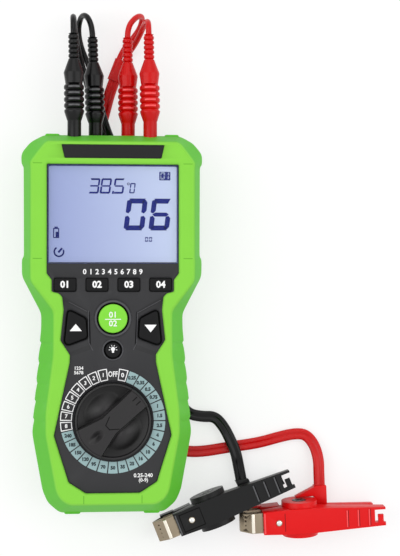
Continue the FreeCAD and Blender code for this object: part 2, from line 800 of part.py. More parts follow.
def cell_height():
    return case_back + door_thickness + door_gap + cell_radius + 0.3


def batteries():
    cells = []
    for index, y in enumerate(cell_rows()):
        side = 1 if index % 2 == 0 else -1
        body = Part.makeCylinder(cell_radius, cell_length, point(-cell_length / 2, y, cell_height()),
                                 point(1, 0, 0))
        nub = Part.makeCylinder(cell_nub[0], cell_nub[1] + 0.5,
                                point(side * (cell_length / 2 - 0.5), y, cell_height()),
                                point(side, 0, 0))
        cells.append(fuse([body, nub]))
    return group(cells)


def battery_contacts():
    """A plate at each cell's positive end and a spring plate at its negative end."""
    contacts = []
    wall = battery_box_half
    for index, y in enumerate(cell_rows()):
        side = 1 if index % 2 == 0 else -1
        for place, reach in ((side, wall - cell_length / 2 - cell_nub[1]),
                             (-side, wall - cell_length / 2)):
            x0, x1 = sorted((place * (wall - cell_plate[1]), place * wall))
            plate = block(x0, x1, y - cell_plate[0], y + cell_plate[0],
                          cell_height() - cell_plate[0], cell_height() + cell_plate[0])
            bump = Part.makeCone(cell_bump[0], cell_bump[1], reach,
                                 point(place * wall, y, cell_height()),
                                 point(-place, 0, 0))
            contacts.append(fuse([plate, bump]))
    return group(contacts)


def battery_door():
    plate = block(-door_half, door_half, door_ends[0], door_ends[1], case_back,
                  case_back + door_thickness)
    ear = upright(door_ear, door_screw[0], door_screw[1] - 0.8, case_back,
                  case_back + door_thickness - 0.1)
    body = fuse([plate, ear])
    body = body.cut(upright(door_screw_radius + screw_play, door_screw[0], door_screw[1],
                            case_back - 1.0, case_back + 4.0))
    body = body.cut(upright(door_screw_head + 0.1, door_screw[0], door_screw[1], case_back - 1.0,
                            case_back + 1.1))
    for index in range(5):
        y = door_ends[0] + 8.0 + index * 2.4
        body = body.cut(block(-10.0, 10.0, y, y + 1.0, case_back - 1.0, case_back + 0.5))
    return body


def battery_door_screw():
    shank = upright(door_screw_radius, door_screw[0], door_screw[1], case_back + 0.5, case_back + 9.0)
    head = upright(door_screw_head, door_screw[0], door_screw[1], case_back + 0.1, case_back + 1.0)
    slot = block(door_screw[0] - 1.6, door_screw[0] + 1.6, door_screw[1] - 0.3, door_screw[1] + 0.3,
                 case_back - 1.0, case_back + 0.6)
    return fuse([shank, head]).cut(slot)


def case_screws():
    screws = []
    for x, y in case_screw_places:
        shank = upright(case_screw_radius, x, y, case_screw_seat - 0.5, panel_under - 5.0)
        head = upright(case_screw_head, x, y, case_screw_seat - case_screw_head_depth, case_screw_seat)
        screws.append(fuse([shank, head]))
    return group(screws)


def tilt_stand():
    hinge_y, hinge_z = stand_hinge
    high = case_back - 0.3
    plate = block(-stand_half, stand_half, stand_end, hinge_y, high - stand_thickness, high)
    thumb = upright(7.0, 0.0, stand_end, high - stand_thickness - 1.0, high + 1.0)
    barrel = Part.makeCylinder(stand_barrel, 2 * stand_half, point(-stand_half, hinge_y, hinge_z),
                               point(1, 0, 0))
    reach = stand_half + stand_ear_gap + stand_ear - 0.3
    pins = Part.makeCylinder(stand_pin, 2 * reach, point(-reach, hinge_y, hinge_z), point(1, 0, 0))
    ridges = [block(-stand_half + 4.0, stand_half - 4.0, stand_end + 12.0 + 4.0 * index,
                    stand_end + 13.2 + 4.0 * index, high - stand_thickness - 0.5, high - stand_thickness)
              for index in range(3)]
    return fuse([plate.cut(thumb), barrel, pins] + ridges)


# ---------------------------------------------------------------- plugs
def plug_profile():
    """Radius along Y of the grip, from the end of the neck to the strain relief's end."""
    collar = neck_radius + plug_collar
    profile = [(plug_neck_end - lean_overlap, collar), (plug_neck_end, collar),
               (plug_shoulder, plug_radius)]
    for index in range(plug_ribs):
        start = plug_rib_start + index * plug_rib_pitch
        profile += [(start, plug_radius), (start + 0.9, plug_radius - plug_rib_depth),
                    (start + 1.6, plug_radius - plug_rib_depth), (start + 2.5, plug_radius)]
    profile += [(plug_body_end, plug_radius), (plug_cone_end, relief_radius)]
    pitch = (plug_end - plug_cone_end) / relief_rings
    for index in range(relief_rings):
        start = plug_cone_end + index * pitch
        groove = relief_radius - relief_groove_depth
        profile += [(start + pitch * 0.62, relief_radius), (start + pitch * 0.7, groove),
                    (start + pitch * 0.92, groove)]
        if index < relief_rings - 1:
            profile.append((start + pitch, relief_radius))
    profile.append((plug_end, relief_radius - relief_groove_depth))
    return profile


def along_plug(place, reach):
    """A point on a plug's axis, so far beyond its neck."""
    x, z = jack_places()[place]
    lean = math.radians(plug_leans[place])
    return x - reach * math.sin(lean), plug_neck_end + reach * math.cos(lean), z


def plug(place):
    """The neck is straight in its socket; the grip leans a little."""
    x, z = jack_places()[place]
    profile = plug_profile()
    corners = [point(x, profile[0][0], z)]
    corners += [point(x + radius, y, z) for y, radius in profile]
    corners += [point(x, profile[-1][0], z), corners[0]]
    grip = Part.Face(Part.makePolygon(corners)).revolve(point(x, 0, z), point(0, 1, 0), 360)
    grip.rotate(point(x, plug_neck_end, z), point(0, 0, 1), plug_leans[place])
    neck = along_y(neck_radius, x, z, jack_floor + plug_tip_gap, plug_neck_end + 1.0)
    body = fuse([neck, grip])
    body = body.cut(along_y(shroud_radius, x, z, jack_floor, jack_floor + shroud_depth))
    return body.cut(along_y(contact_radius, x, z, jack_floor, pin_end))


def plug_pins():
    return group([along_y(contact_radius, x, z, jack_floor + plug_tip_gap - 0.5, pin_end)
                  for x, z in jack_places()])


# ---------------------------------------------------------------- cords
def round_section(start, heading):
    """The single lead's section."""
    circle = Part.Circle(start, heading, lead_diameter / 2)
    return Part.Face(Part.Wire([circle.toShape()]))


def flat_section(start, heading, width, thickness):
    """A flat section with round edges, its long side level."""
    across = heading.cross(point(0, 0, 1)).normalize()
    up = across.cross(heading).normalize()
    flat = width / 2 - thickness / 2
    round_edge = thickness / 2
    corners = []
    for side_x, side_z in ((-1, -1), (1, -1), (1, 1), (-1, 1)):
        corners.append(start + across * (side_x * flat) + up * (side_z * round_edge))
    right = start + across * (flat + round_edge)
    left = start - across * (flat + round_edge)
    edges = [Part.LineSegment(corners[0], corners[1]).toShape(),
             Part.Arc(corners[1], right, corners[2]).toShape(),
             Part.LineSegment(corners[2], corners[3]).toShape(),
             Part.Arc(corners[3], left, corners[0]).toShape()]
    return Part.Face(Part.Wire(edges))


def cord(points, section, name):
    """Straight runs joined by tangent arcs, each arc as large as its two runs allow."""
    corners = [point(*place) for place in points]
    face = section.copy()
    pieces = []
    place = corners[0]
    length = 0.0
    smallest = 1e9
    for index in range(1, len(corners) - 1):
        before = corners[index] - corners[index - 1]
        after = corners[index + 1] - corners[index]
        turn = before.getAngle(after)
        cut = 0.45 * min(before.Length, after.Length)
        radius = cut / math.tan(turn / 2)
        smallest = min(smallest, radius)
        axis = before.cross(after).normalize()
        before.normalize()
        first = corners[index] - before * cut
        centre = first + axis.cross(before) * radius
        run = first - place
        pieces.append(face.extrude(run))
        face.translate(run)
        pieces.append(face.revolve(centre, axis, math.degrees(turn)))
        face.rotate(centre, axis, math.degrees(turn))
        length += run.Length + radius * turn
        place = corners[index] + after.normalize() * cut
    run = corners[-1] - place
    pieces.append(face.extrude(run))
    length += run.Length
    solid = fuse(pieces)
    share = solid.Volume / (section.Area * length)
    print(name, "length", round(length, 1), "smallest radius", round(smallest, 1),
          "volume over section times length", round(share, 4))
    return solid


def heading_of(points):
    return (point(*points[1]) - point(*points[0])).normalize()


def lead(points, name):
    return cord(points, round_section(point(*points[0]), heading_of(points)), name)


def twin(points, name):
    section = flat_section(point(*points[0]), heading_of(points), twin_width, lead_diameter)
    return cord(points, section, name)


def splitter(ends):
    """A flat block between the two single leads and the twin cable."""
    start = point(*ends[0])
    end = point(*ends[1])
    heading = (end - start).normalize()
    section = flat_section(start, heading, splitter_width, splitter_thickness)
    return section.extrude(end - start)


def splitter_entry(ends, side):
    """A point out along one of the two leads, then where it enters the splitter."""
    start = point(*ends[0])
    heading = heading_of(ends)
    across = heading.cross(point(0, 0, 1)).normalize()
    place = start + across * (side * splitter_pitch / 2)
    before = place - heading * splitter_straight
    return [tuple(before), tuple(place)]


def splitter_exit(ends):
    """Where the twin cable leaves the splitter, then a point out along it."""
    place = point(*ends[1])
    return [ends[1], tuple(place + heading_of(ends) * splitter_straight)]


# ---------------------------------------------------------------- clips
def clip_outline(start, end, wall):
    """Plan of a lever from x = start to x = end, moved inwards by the wall."""
    def half_at(x):
        if x <= clip_pivot - 8.0:
            share = (x - clip_nose) / (clip_pivot - 8.0 - clip_nose)
            return clip_nose_half + share * (clip_body_half - clip_nose_half) - wall
        if x <= clip_pivot + 8.0:
            return clip_body_half - wall
        share = (x - clip_pivot - 8.0) / (clip_length - clip_pivot - 8.0)
        return clip_body_half + share * (clip_tail_half - clip_body_half) - wall
    stations = [start] + [x for x in (clip_pivot - 8.0, clip_pivot + 8.0) if start < x < end] + [end]
    right = [(x, half_at(x)) for x in stations]
    return right + [(x, -y) for x, y in reversed(right)]


def clip_channel(outline_outer, outline_inner, profile, low, high):
    body = prism(outline_outer, -5.0, clip_height + 5.0)
    body = body.common(side_prism(profile, 40.0))
    return body.cut(prism(outline_inner, low, high))


def clip_middle():
    return clip_height / 2


def upper_lever():
    profile = [(clip_nose, clip_height), (clip_length, clip_height), (clip_length, 17.0),
               (60.0, 14.4), (48.0, 12.8), (44.0, 9.5), (28.0, 9.5), (20.0, 13.4),
               (clip_nose, 15.4)]
    outer = clip_outline(clip_nose, clip_length, 0.0)
    inner = clip_outline(clip_nose - 2.0, clip_length + 2.0, clip_wall)
    body = clip_channel(outer, inner, profile, -6.0, clip_height - clip_plate)
    parts = [body]
    for side in (-1, 1):
        y0, y1 = sorted((side * (clip_body_half - clip_wall), side * (clip_body_half + clip_boss_proud)))
        parts.append(along_y(clip_boss_radius, clip_pivot, clip_middle(), y0, y1))
    for index in range(3):
        x = 62.0 + 6.6 * index
        half = clip_tail_half - 0.2
        parts.append(block(x, x + 0.9, -half, half, clip_height - 0.2, clip_height + 0.35))
    body = fuse(parts)
    body = body.cut(along_y(clip_shaft + clip_shaft_gap, clip_pivot, clip_middle(), -20.0, 20.0))
    seat = clip_body_half + clip_boss_proud - clip_screw_head_depth
    body = body.cut(along_y(clip_screw_head + 0.2, clip_pivot, clip_middle(), seat, 20.0))
    body = body.cut(along_y(clip_screw_head + 0.2, clip_pivot, clip_middle(), -20.0, -seat))
    hook = block(clip_length - 6.4, clip_length + 1.0, -3.4, 4.1, 10.0, 30.0)
    lug = block(clip_length - 4.4, clip_length - 1.3, -4.2, 1.2, 21.0, clip_height)
    body = body.cut(hook.cut(lug))
    return body.cut(upright(rivet_radius + 0.05, rivet_place, 0.0, 15.0, 30.0))


def lower_lever():
    profile = [(clip_nose, 0.0), (clip_lower_end, 0.0), (clip_lower_end, 5.0), (46.0, 5.0),
               (42.0, 15.5), (30.0, 15.5), (24.6, 9.6), (20.0, 10.4), (clip_nose, 8.6)]
    narrow = clip_wall + clip_side_gap
    wide_end = clip_pivot - clip_boss_radius - 0.9
    front = clip_channel(clip_outline(clip_nose, wide_end, 0.0),
                         clip_outline(clip_nose - 2.0, wide_end + 2.0, clip_wall), profile,
                         clip_plate, 40.0)
    rear = clip_channel(clip_outline(wide_end - 1.5, clip_lower_end, narrow),
                        clip_outline(clip_nose - 2.0, clip_lower_end + 2.0, narrow + 1.4), profile,
                        clip_plate, 40.0)
    body = fuse([front, rear, chin()])
    body = body.cut(along_y(clip_shaft + clip_shaft_gap, clip_pivot, clip_middle(), -20.0, 20.0))
    return body.cut(upright(rivet_radius + 0.05, rivet_place, 0.0, -3.0, 10.0))


def chin():
    """The tray in front of the lower lever's walls, round the lower jaw."""
    start, half, high = clip_chin
    inner = jaw_half + jaw_gap
    tray = block(start, clip_nose + 1.0, -half, half, 0.0, high)
    tray = tray.cut(block(start - 1.0, clip_nose - 0.3, -inner, inner, clip_plate, high + 1.0))
    opening = clip_nose_half - clip_wall
    return tray.cut(block(start, clip_nose + 2.0, -opening, opening, clip_plate, high + 1.0))


def slot_for_relief(body, relief):
    """The lower lever's side wall opened where the strain relief passes it."""
    box = relief.BoundBox
    low = clip_plate - 0.02
    return body.cut(block(box.XMin - 0.1, box.XMax + 0.1, 1.6, 20.0, low, 20.0))


def jaw():
    """The upper jaw: a bent strip from inside the lever, over the nose and back underneath."""
    middle = clip_middle()
    top = clip_height - clip_plate - 0.1
    low = middle + jaw_gap
    thick = jaw_thickness
    strip = [(30.0, top), (jaw_bend, top), (0.0, low + 1.7), (0.0, low), (26.0, low),
             (26.0, low + thick), (thick, low + thick), (thick, low + 1.5),
             (jaw_bend + 0.4, top - thick), (30.0, top - thick)]
    body = side_prism(strip, jaw_half)
    for side in (-1, 1):
        y0, y1 = sorted((side * jaw_tongue_half, side * 10.0))
        body = body.cut(block(clip_nose - 0.3, 40.0, y0, y1, 0.0, clip_height))
    dots = [upright(0.45, 3.0, -3.6 + 2.4 * index, 10.0, 30.0) for index in range(4)]
    for dot in dots:
        body = body.cut(dot.common(block(0.0, 6.0, -6.0, 6.0, middle + 2.6, 30.0)))
    body = body.cut(upright(rivet_radius + 0.05, rivet_place, 0.0, top - 2.0, 30.0))
    rivet_low = top - thick - 0.5
    rivet = fuse([upright(rivet_radius, rivet_place, 0.0, rivet_low, clip_height),
                  upright(rivet_radius + 0.6, rivet_place, 0.0, rivet_low, rivet_low + 0.5),
                  upright(rivet_head, rivet_place, 0.0, clip_height, clip_height + rivet_head_height)])
    return group([body, rivet])


def flipped(shape):
    """The same piece on the other side of the clip's middle plane."""
    return shape.mirror(point(0, 0, clip_middle()), point(0, 0, 1))


def pivot_screw():
    face = clip_body_half + clip_boss_proud
    depth = clip_screw_head_depth
    shank = along_y(clip_shaft, clip_pivot, clip_middle(), -face + 0.1, face - 0.2)
    head = along_y(clip_screw_head, clip_pivot, clip_middle(), face - depth + 0.02, face + 0.1)
    nut = along_y(clip_screw_head, clip_pivot, clip_middle(), -face - 0.1, -face + depth - 0.02)
    body = fuse([shank, head, nut])
    for angle in (45, 135):
        arm = block(-2.8, 2.8, face - 0.4, face + 1.0, -0.55, 0.55)
        arm.rotate(point(0, 0, 0), point(0, 1, 0), angle)
        arm.translate(point(clip_pivot, 0, clip_middle()))
        body = body.cut(arm)
    return body


def clip_spring():
    middle = clip_middle()
    coil = along_y(coil_outer, clip_pivot, middle, -coil_half, coil_half)
    coil = coil.cut(along_y(coil_inner, clip_pivot, middle, -coil_half - 1.0, coil_half + 1.0))
    legs = []
    for target in (clip_height - clip_plate - coil_leg - 0.05, clip_plate + coil_leg + 0.05):
        side = 1 if target > middle else -1
        start = point(clip_pivot, -2.2 * side, middle + side * (coil_outer - coil_leg))
        end = point(clip_pivot + 18.0, -2.2 * side, target)
        reach = end - start
        legs.append(Part.makeCylinder(coil_leg, reach.Length, start, reach))
    return fuse([coil] + legs)


def sleeve_start():
    return clip_body_half + clip_boss_proud + 0.4


def sleeve_heading(clip):
    lean = math.radians(clip["lean"])
    return math.sin(lean), math.cos(lean)


def strain_relief(clip):
    """A flat sleeve from inside the lower lever to the cord, with a wedge beside the boss."""
    middle = clip["exit"]
    reach = clip["reach"]
    half = sleeve_width / 2
    high = sleeve_low + sleeve_height
    start = sleeve_start()
    along_x, along_y_share = sleeve_heading(clip)
    end_x = middle + reach * along_x
    end_y = start + reach * along_y_share
    wall = clip_body_half
    root = block(middle - half, middle + half, sleeve_root, wall, clip_plate + 0.02, high)
    sleeve = prism([(middle - half, wall - 0.5), (middle + half, wall - 0.5),
                    (end_x + half * along_y_share, end_y - half * along_x),
                    (end_x - half * along_y_share, end_y + half * along_x)], sleeve_low, high)
    parts = [root, sleeve]
    if reach > 0:
        parts.append(prism([(middle - 15.5, start), (middle - half + 1.0, start),
                            (middle - half + 0.8, start + reach - 0.4)], sleeve_low, high))
    return fuse(parts)


def placed(shape, clip):
    copy = shape.copy()
    copy.rotate(point(0, 0, 0), point(1, 0, 0), clip["roll"])
    copy.rotate(point(0, 0, 0), point(0, 0, 1), clip["heading"])
    copy.translate(point(clip["nose"][0], clip["nose"][1], clip_lift))
    return copy


def cord_landing(clip):
    """Where the twin cable meets the strain relief's outer end, and a point out along it."""
    along_x, along_y_share = sleeve_heading(clip)
    middle = sleeve_low + sleeve_height / 2
    spots = []
    for distance in (clip["reach"], clip["reach"] + 7.0):
        vertex = Part.Vertex(clip["exit"] + distance * along_x,
                             sleeve_start() + distance * along_y_share, middle)
        spots.append(placed(vertex, clip).Point)
    return [(spot.x, spot.y, spot.z) for spot in spots]


def export_clip(colour, clip):
    relief = strain_relief(clip)
    pieces = {"upper_lever": upper_lever(), "lower_lever": slot_for_relief(lower_lever(), relief),
              "upper_jaw": jaw(), "lower_jaw": flipped(jaw()), "pivot_screw": pivot_screw(),
              "spring": clip_spring(), "strain_relief": relief}
    for name, shape in pieces.items():
        export(placed(shape, clip), colour + "_clip_" + name)
    pivot = placed(Part.Vertex(clip_pivot, 0.0, clip_middle()), clip).Point
    print(colour, "clip pivot", [round(value, 4) for value in pivot])


# ---------------------------------------------------------------- build
def export_meter():
    export(rubber_boot(), "rubber_boot")
    export(rear_case(), "rear_case")
    export(front_case(), "front_case")
    export(badge_plate(), "badge_plate")
    export(display_window(), "display_window")
    export(lcd_module(), "lcd_module")
    export(backlight_frame(), "backlight_frame")
    export(dial_ring(), "dial_ring")
    export(main_board(), "main_board")
    export(board_screws(), "board_screws")
    export(keypad_mat(), "keypad_mat")
    for index in range(4):
        export(mode_key(index), "mode_key_" + str(index + 1))
    export(round_key(select_key_centre, select_key_radius, select_key_proud), "select_key")
    export(round_key(light_key_centre, light_key_radius, key_proud), "light_key")
    export(arrow_key(-1), "up_key")
    export(arrow_key(1), "down_key")
    export(selector_knob(), "selector_knob")
    export(switch_rotor(), "switch_rotor")
    export(detent_balls(), "detent_balls")
    export(detent_springs(), "detent_springs")
    export(buzzer(), "buzzer")
    export(jack_block(), "jack_block")
    export(input_jacks(), "input_jacks")
    export(batteries(), "batteries")
    export(battery_contacts(), "battery_contacts")
    export(battery_door(), "battery_door")
    export(battery_door_screw(), "battery_door_screw")
    export(case_screws(), "case_screws")
    export(tilt_stand(), "tilt_stand")


def export_leads():
    names = ["black_outer_plug", "black_inner_plug", "red_inner_plug", "red_outer_plug"]
    for place, name in enumerate(names):
        export(plug(place), name)
    export(plug_pins(), "plug_pins")
    routes = [("black_outer_lead", 0, black_outer_route, black_splitter_ends, 1),
              ("black_inner_lead", 1, black_inner_route, black_splitter_ends, -1),
              ("red_inner_lead", 2, red_inner_route, red_splitter_ends, 1),
              ("red_outer_lead", 3, red_outer_route, red_splitter_ends, -1)]
    for name, place, route, ends, side in routes:
        reach = plug_end - plug_neck_end
        points = [along_plug(place, reach), along_plug(place, reach + lead_straight[place])]
        points += route + splitter_entry(ends, side)
        print(name, "first points", [[round(value, 3) for value in spot] for spot in points[:2]])
        export(lead(points, name), name)
        print(name, "last points", [[round(value, 3) for value in place] for place in points[-2:]])
    for colour, ends, route, clip in (("black", black_splitter_ends, black_twin_route, black_clip),
                                      ("red", red_splitter_ends, red_twin_route, red_clip)):
        export(splitter(ends), colour + "_splitter")
        landing, ahead = cord_landing(clip)
        points = splitter_exit(ends) + route + [ahead, landing]
        export(twin(points, colour + "_twin_cable"), colour + "_twin_cable")
        print(colour, "twin's fixed points", [[round(value, 3) for value in place]
                                              for place in points[:2] + points[-2:]])
        export_clip(colour, clip)


export_meter()
export_leads()
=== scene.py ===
import math

import bmesh
import bpy
import numpy as np
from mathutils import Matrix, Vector, geometry


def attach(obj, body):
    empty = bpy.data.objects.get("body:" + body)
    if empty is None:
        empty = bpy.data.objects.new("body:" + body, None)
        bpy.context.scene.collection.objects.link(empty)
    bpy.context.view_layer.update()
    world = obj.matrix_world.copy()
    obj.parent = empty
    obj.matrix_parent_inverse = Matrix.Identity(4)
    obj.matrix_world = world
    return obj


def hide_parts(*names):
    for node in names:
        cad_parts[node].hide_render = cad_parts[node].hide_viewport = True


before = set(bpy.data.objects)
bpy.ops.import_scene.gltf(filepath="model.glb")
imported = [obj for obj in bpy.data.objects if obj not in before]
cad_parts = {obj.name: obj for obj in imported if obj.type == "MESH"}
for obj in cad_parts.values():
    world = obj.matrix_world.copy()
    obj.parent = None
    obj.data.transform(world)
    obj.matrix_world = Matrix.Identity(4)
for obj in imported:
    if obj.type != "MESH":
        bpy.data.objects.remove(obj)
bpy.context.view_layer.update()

mm = 0.001


# A "#rrggbb" sRGB colour as linear red, green, blue, alpha.
def linearColour(text):
    shades = np.array([int(text[i:i + 2], 16) for i in (1, 3, 5)]) / 255
    linear = np.where(shades <= 0.04045, shades / 12.92, ((shades + 0.055) / 1.055) ** 2.4)
    return (*linear.tolist(), 1.0)


# Adds a node; values that are sockets are linked, the others are set.
def addNode(tree, kind, values=None, **settings):
    node = tree.nodes.new(kind)
    for key, value in settings.items():
        setattr(node, key, value)
    for key, value in (values or {}).items():
        if isinstance(value, bpy.types.NodeSocket):
            tree.links.new(value, node.inputs[key])
        else:
            node.inputs[key].default_value = value
    return node


# The first node of a type in a tree.
def findNode(tree, kind):
    return next(node for node in tree.nodes if node.type == kind)


# A new object in the scene that holds this data.
def placed(name, data):
    item = bpy.data.objects.new(name, data)
    bpy.context.scene.collection.objects.link(item)
    return item


# A finish from its settings: colour with a soft mottle of a few percent, a fine grain that
# breaks up the gloss, and a bump whose height and spacing are in millimetres.
def makeFinish(name, colour, roughness, grain=0.6, height=0.02, mottle=0.05, metallic=0.0,
               shine=0.5, alpha=1.0):
    material = bpy.data.materials.new(name)
    material.use_nodes = True
    tree = material.node_tree
    tree.nodes.clear()
    place = addNode(tree, "ShaderNodeTexCoord").outputs["Object"]
    broad = addNode(tree, "ShaderNodeTexNoise", {"Vector": place, "Scale": 60, "Detail": 3})
    fine = addNode(tree, "ShaderNodeTexNoise", {"Vector": place, "Scale": 1 / (grain * mm),
                                                "Detail": 4, "Roughness": 0.6})
    base = np.array(linearColour(colour))
    darker, paler = base * (1 - mottle), np.minimum(base * (1 + mottle), 1)
    darker[3] = paler[3] = 1
    tone = addNode(tree, "ShaderNodeMix", {0: broad.outputs["Fac"], 6: darker, 7: paler},
                   data_type="RGBA")
    gloss = addNode(tree, "ShaderNodeMapRange", {
        "Value": fine.outputs["Fac"], "To Min": roughness * 0.88, "To Max": roughness * 1.12})
    bump = addNode(tree, "ShaderNodeBump", {"Height": fine.outputs["Fac"], "Strength": 1.0,
                                            "Distance": height * mm})
    shader = addNode(tree, "ShaderNodeBsdfPrincipled", {
        "Base Color": tone.outputs[2], "Roughness": gloss.outputs[0], "Metallic": metallic,
        "Normal": bump.outputs[0], "Specular IOR Level": shine, "Alpha": alpha})
    addNode(tree, "ShaderNodeOutputMaterial", {"Surface": shader.outputs[0]})
    return material


finishes = {
    # moulded soft rubber: bright, nearly matt, with a faint sheen along its bevels
    "bootRubber": makeFinish("moulded green rubber", "#86D246", 0.5, 0.5, 0.015, 0.03, shine=0.12),
    "bootSeam": makeFinish("seam of the green rubber", "#58A52A", 0.6, 0.4, 0.004, 0.02, shine=0.2),
    # spark-eroded polycarbonate: dark grey with an even fine grain, and a paler grey for painted highlights
    "panelPlastic": makeFinish("spark-eroded dark plastic", "#1F1F22", 0.45, 0.35, 0.012, shine=0.4),
    "casePlastic": makeFinish("spark-eroded grey plastic", "#303133", 0.5, 0.35, 0.015),
    "panelEdge": makeFinish("rubbed panel edge", "#4A4A4E", 0.4, 0.35, 0.006, shine=0.4),
    # satin printed plate: flat and even, smoother than the panel
    "badge": makeFinish("satin printed plate", "#131314", 0.5, 0.3, 0.004, shine=0.25),
    # silicone rubber: deep colour with a dull soft highlight
    "keyRubber": makeFinish("silicone rubber, black", "#09090B", 0.5, 0.3, 0.006, shine=0.18),
    "selectGreen": makeFinish("silicone rubber, green", "#7ED636", 0.45, 0.3, 0.005, shine=0.35),
    # moulded knob: a little gloss, so that its bar and bowl show; its engraved lines are painted shade
    "knobPlastic": makeFinish("moulded black knob plastic", "#252425", 0.38, 0.3, 0.008, shine=0.3),
    "knobLine": makeFinish("painted shade in the knob's engraved lines", "#0C0C0C", 0.6, 0.3, 0.004, shine=0.1),
    # screen print and liquid crystal: flat, even and nearly without gloss
    "printWhite": makeFinish("white screen print", "#F4F4F4", 0.5, 0.3, 0.002, 0.02),
    "dialBlue": makeFinish("blue-grey screen print", "#94B1B3", 0.55, 0.3, 0.003, 0.05),
    "dialInk": makeFinish("dark dial ink", "#14272C", 0.6, 0.3, 0.002),
    "segmentInk": makeFinish("liquid crystal segment", "#121C72", 0.6, 0.3, 0.001, 0.02, shine=0.1),
    # painted shade where the display glass sits below its frame
    "border": makeFinish("painted shade at the display's edge", "#3C4C8E", 0.5, 0.3, 0.001, 0.03),
    "pale": makeFinish("clear segment in its box", "#B7C3E6", 0.5, 0.3, 0.001, 0.01, shine=0.1),
    # moulded and extruded vinyl: glossy, with long soft highlights down the plugs and leads
    "plugBlack": makeFinish("glossy moulded vinyl, black", "#080809", 0.26, 0.4, 0.008, shine=0.26),
    "plugRed": makeFinish("glossy moulded vinyl, red", "#C80404", 0.26, 0.4, 0.008, shine=0.24),
    "cordBlack": makeFinish("extruded vinyl, black", "#050506", 0.2, 0.5, 0.006, shine=0.25),
    "cordRed": makeFinish("extruded vinyl, red", "#C80505", 0.26, 0.5, 0.006, shine=0.3),
    # moulded clip plastic: fine grain, medium gloss
    "clipBlack": makeFinish("moulded clip plastic, black", "#121213", 0.36, 0.4, 0.012, shine=0.22),
    "clipRed": makeFinish("moulded clip plastic, red", "#DC0408", 0.36, 0.4, 0.012, shine=0.25),
    # nickel and steel: the jaws warm and blurred by tumbling, their rivets bright, a painted highlight along
    # the bend
    "jawNickel": makeFinish("tumbled nickel plate", "#978A76", 0.3, 0.5, 0.01, 0.12, metallic=1.0),
    "springSteel": makeFinish("drawn spring steel", "#A7A7A5", 0.28, 0.3, 0.004, metallic=1.0),
    "rivetSteel": makeFinish("polished steel rivet", "#E2E2E0", 0.2, 0.3, 0.003, 0.02, metallic=1.0),
    "bendHighlight": makeFinish("painted highlight along the jaw's bend", "#F3ECDD", 0.2, 0.3, 0.003, 0.02,
                             metallic=0.8),
    # painted highlights on the clips' ridges and nose and on the plugs' rib crests, and painted shade in the
    # clips' grooves and round the keys
    "rubbedBlack": makeFinish("rubbed clip plastic, black", "#4A4A4D", 0.3, 0.4, 0.006),
    "rubbedRed": makeFinish("rubbed clip plastic, red", "#F2474B", 0.3, 0.4, 0.006),
    "grooveBlack": makeFinish("groove in the black clip", "#040404", 0.6, 0.4, 0.004, shine=0.1),
    "grooveRed": makeFinish("groove in the red clip", "#94060A", 0.5, 0.4, 0.004, shine=0.2),
    # fasteners, contacts and inside parts: plain metal and moulded shades behind the case
    "screwSteel": makeFinish("zinc-plated steel", "#9A9B9D", 0.3, 0.3, 0.006, metallic=1.0),
    "screwBlack": makeFinish("blackened steel", "#2A2A2B", 0.35, 0.3, 0.006, metallic=0.6),
    "brass": makeFinish("turned brass", "#C7A24F", 0.3, 0.3, 0.004, metallic=1.0),
    "board": makeFinish("glass-fibre board", "#1F5B35", 0.5, 0.4, 0.01),
    "cellWrap": makeFinish("shrunk battery wrap", "#C9A44A", 0.35, 0.5, 0.006),
    "diffuser": makeFinish("white diffuser plastic", "#E8EAEE", 0.4, 0.4, 0.004),
    # clear acrylic: only its reflections show
    "window": makeFinish("clear acrylic", "#C9D3F2", 0.08, 2.0, 0.001, 0.0, shine=0.1, alpha=0.03),
}


# Paints shade into a finish by height: stops are heights in millimetres, each with the share
# of the painted shade colour there.
def deepenByHeight(finish, deep, stops):
    tree = finishes[finish].node_tree
    shader = findNode(tree, "BSDF_PRINCIPLED")
    plain = shader.inputs["Base Color"].links[0].from_socket
    (low, first), (high, last) = stops[0], stops[-1]
    place = addNode(tree, "ShaderNodeTexCoord").outputs["Object"]
    height = addNode(tree, "ShaderNodeSeparateXYZ", {"Vector": place}).outputs["Z"]
    along = addNode(tree, "ShaderNodeMapRange", {"Value": height, "From Min": low * mm,
                                                 "From Max": high * mm}).outputs[0]
    share = addNode(tree, "ShaderNodeValToRGB", {"Fac": along})
    steps = share.color_ramp.elements
    for level, tone in stops[1:-1]:
        steps.new((level - low) / (high - low)).color = (tone, tone, tone, 1)
    steps[0].color = (first, first, first, 1)
    steps[-1].color = (last, last, last, 1)
    tone = addNode(tree, "ShaderNodeMix", {0: share.outputs[0], 6: plain, 7: linearColour(deep)},
                   data_type="RGBA")
    tree.links.new(tone.outputs[2], shader.inputs["Base Color"])


# painted shade by height: the boot's bevels deeper than its face, the knob's recesses deeper
# than its bar, and the slopes of the panel's hollows deeper than its flats
deepenByHeight("bootRubber", "#5DBC33", [(49.2, 1), (50.9, 0)])
deepenByHeight("knobPlastic", "#050505", [(50.4, 1), (54.4, 0)])
deepenByHeight("panelPlastic", "#161619", [(48.5, 0), (48.66, 0), (48.72, 1), (49.43, 1),
                                           (49.48, 0), (49.5, 0)])
print("finishes", len(finishes))


# Faces of a grid of rows and columns whose last column joins its first.
def gridFaces(rows, columns):
    row = np.arange(rows - 1)[:, None] * columns
    column = np.arange(columns)[None, :]
    after = (column + 1) % columns
    return np.stack([row + column, row + after, row + columns + after, row + columns + column],
                    axis=-1).reshape(-1, 4)


# A mesh object from points in millimetres; it rides on the body and takes the place of nodes.
def makePiece(name, points, faces, finish, body="meter", stands=(), sharp=40):
    mesh = bpy.data.meshes.new(name)
    mesh.from_pydata((np.asarray(points, float) * mm).tolist(), [],
                     [list(map(int, face)) for face in faces])
    mesh.validate()
    mesh.polygons.foreach_set("use_smooth", [True] * len(mesh.polygons))
    mesh.set_sharp_from_angle(angle=math.radians(sharp))
    mesh.materials.append(finishes[finish])
    piece = placed(name, mesh)
    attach(piece, body)
    if stands:
        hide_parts(*stands)
    return piece


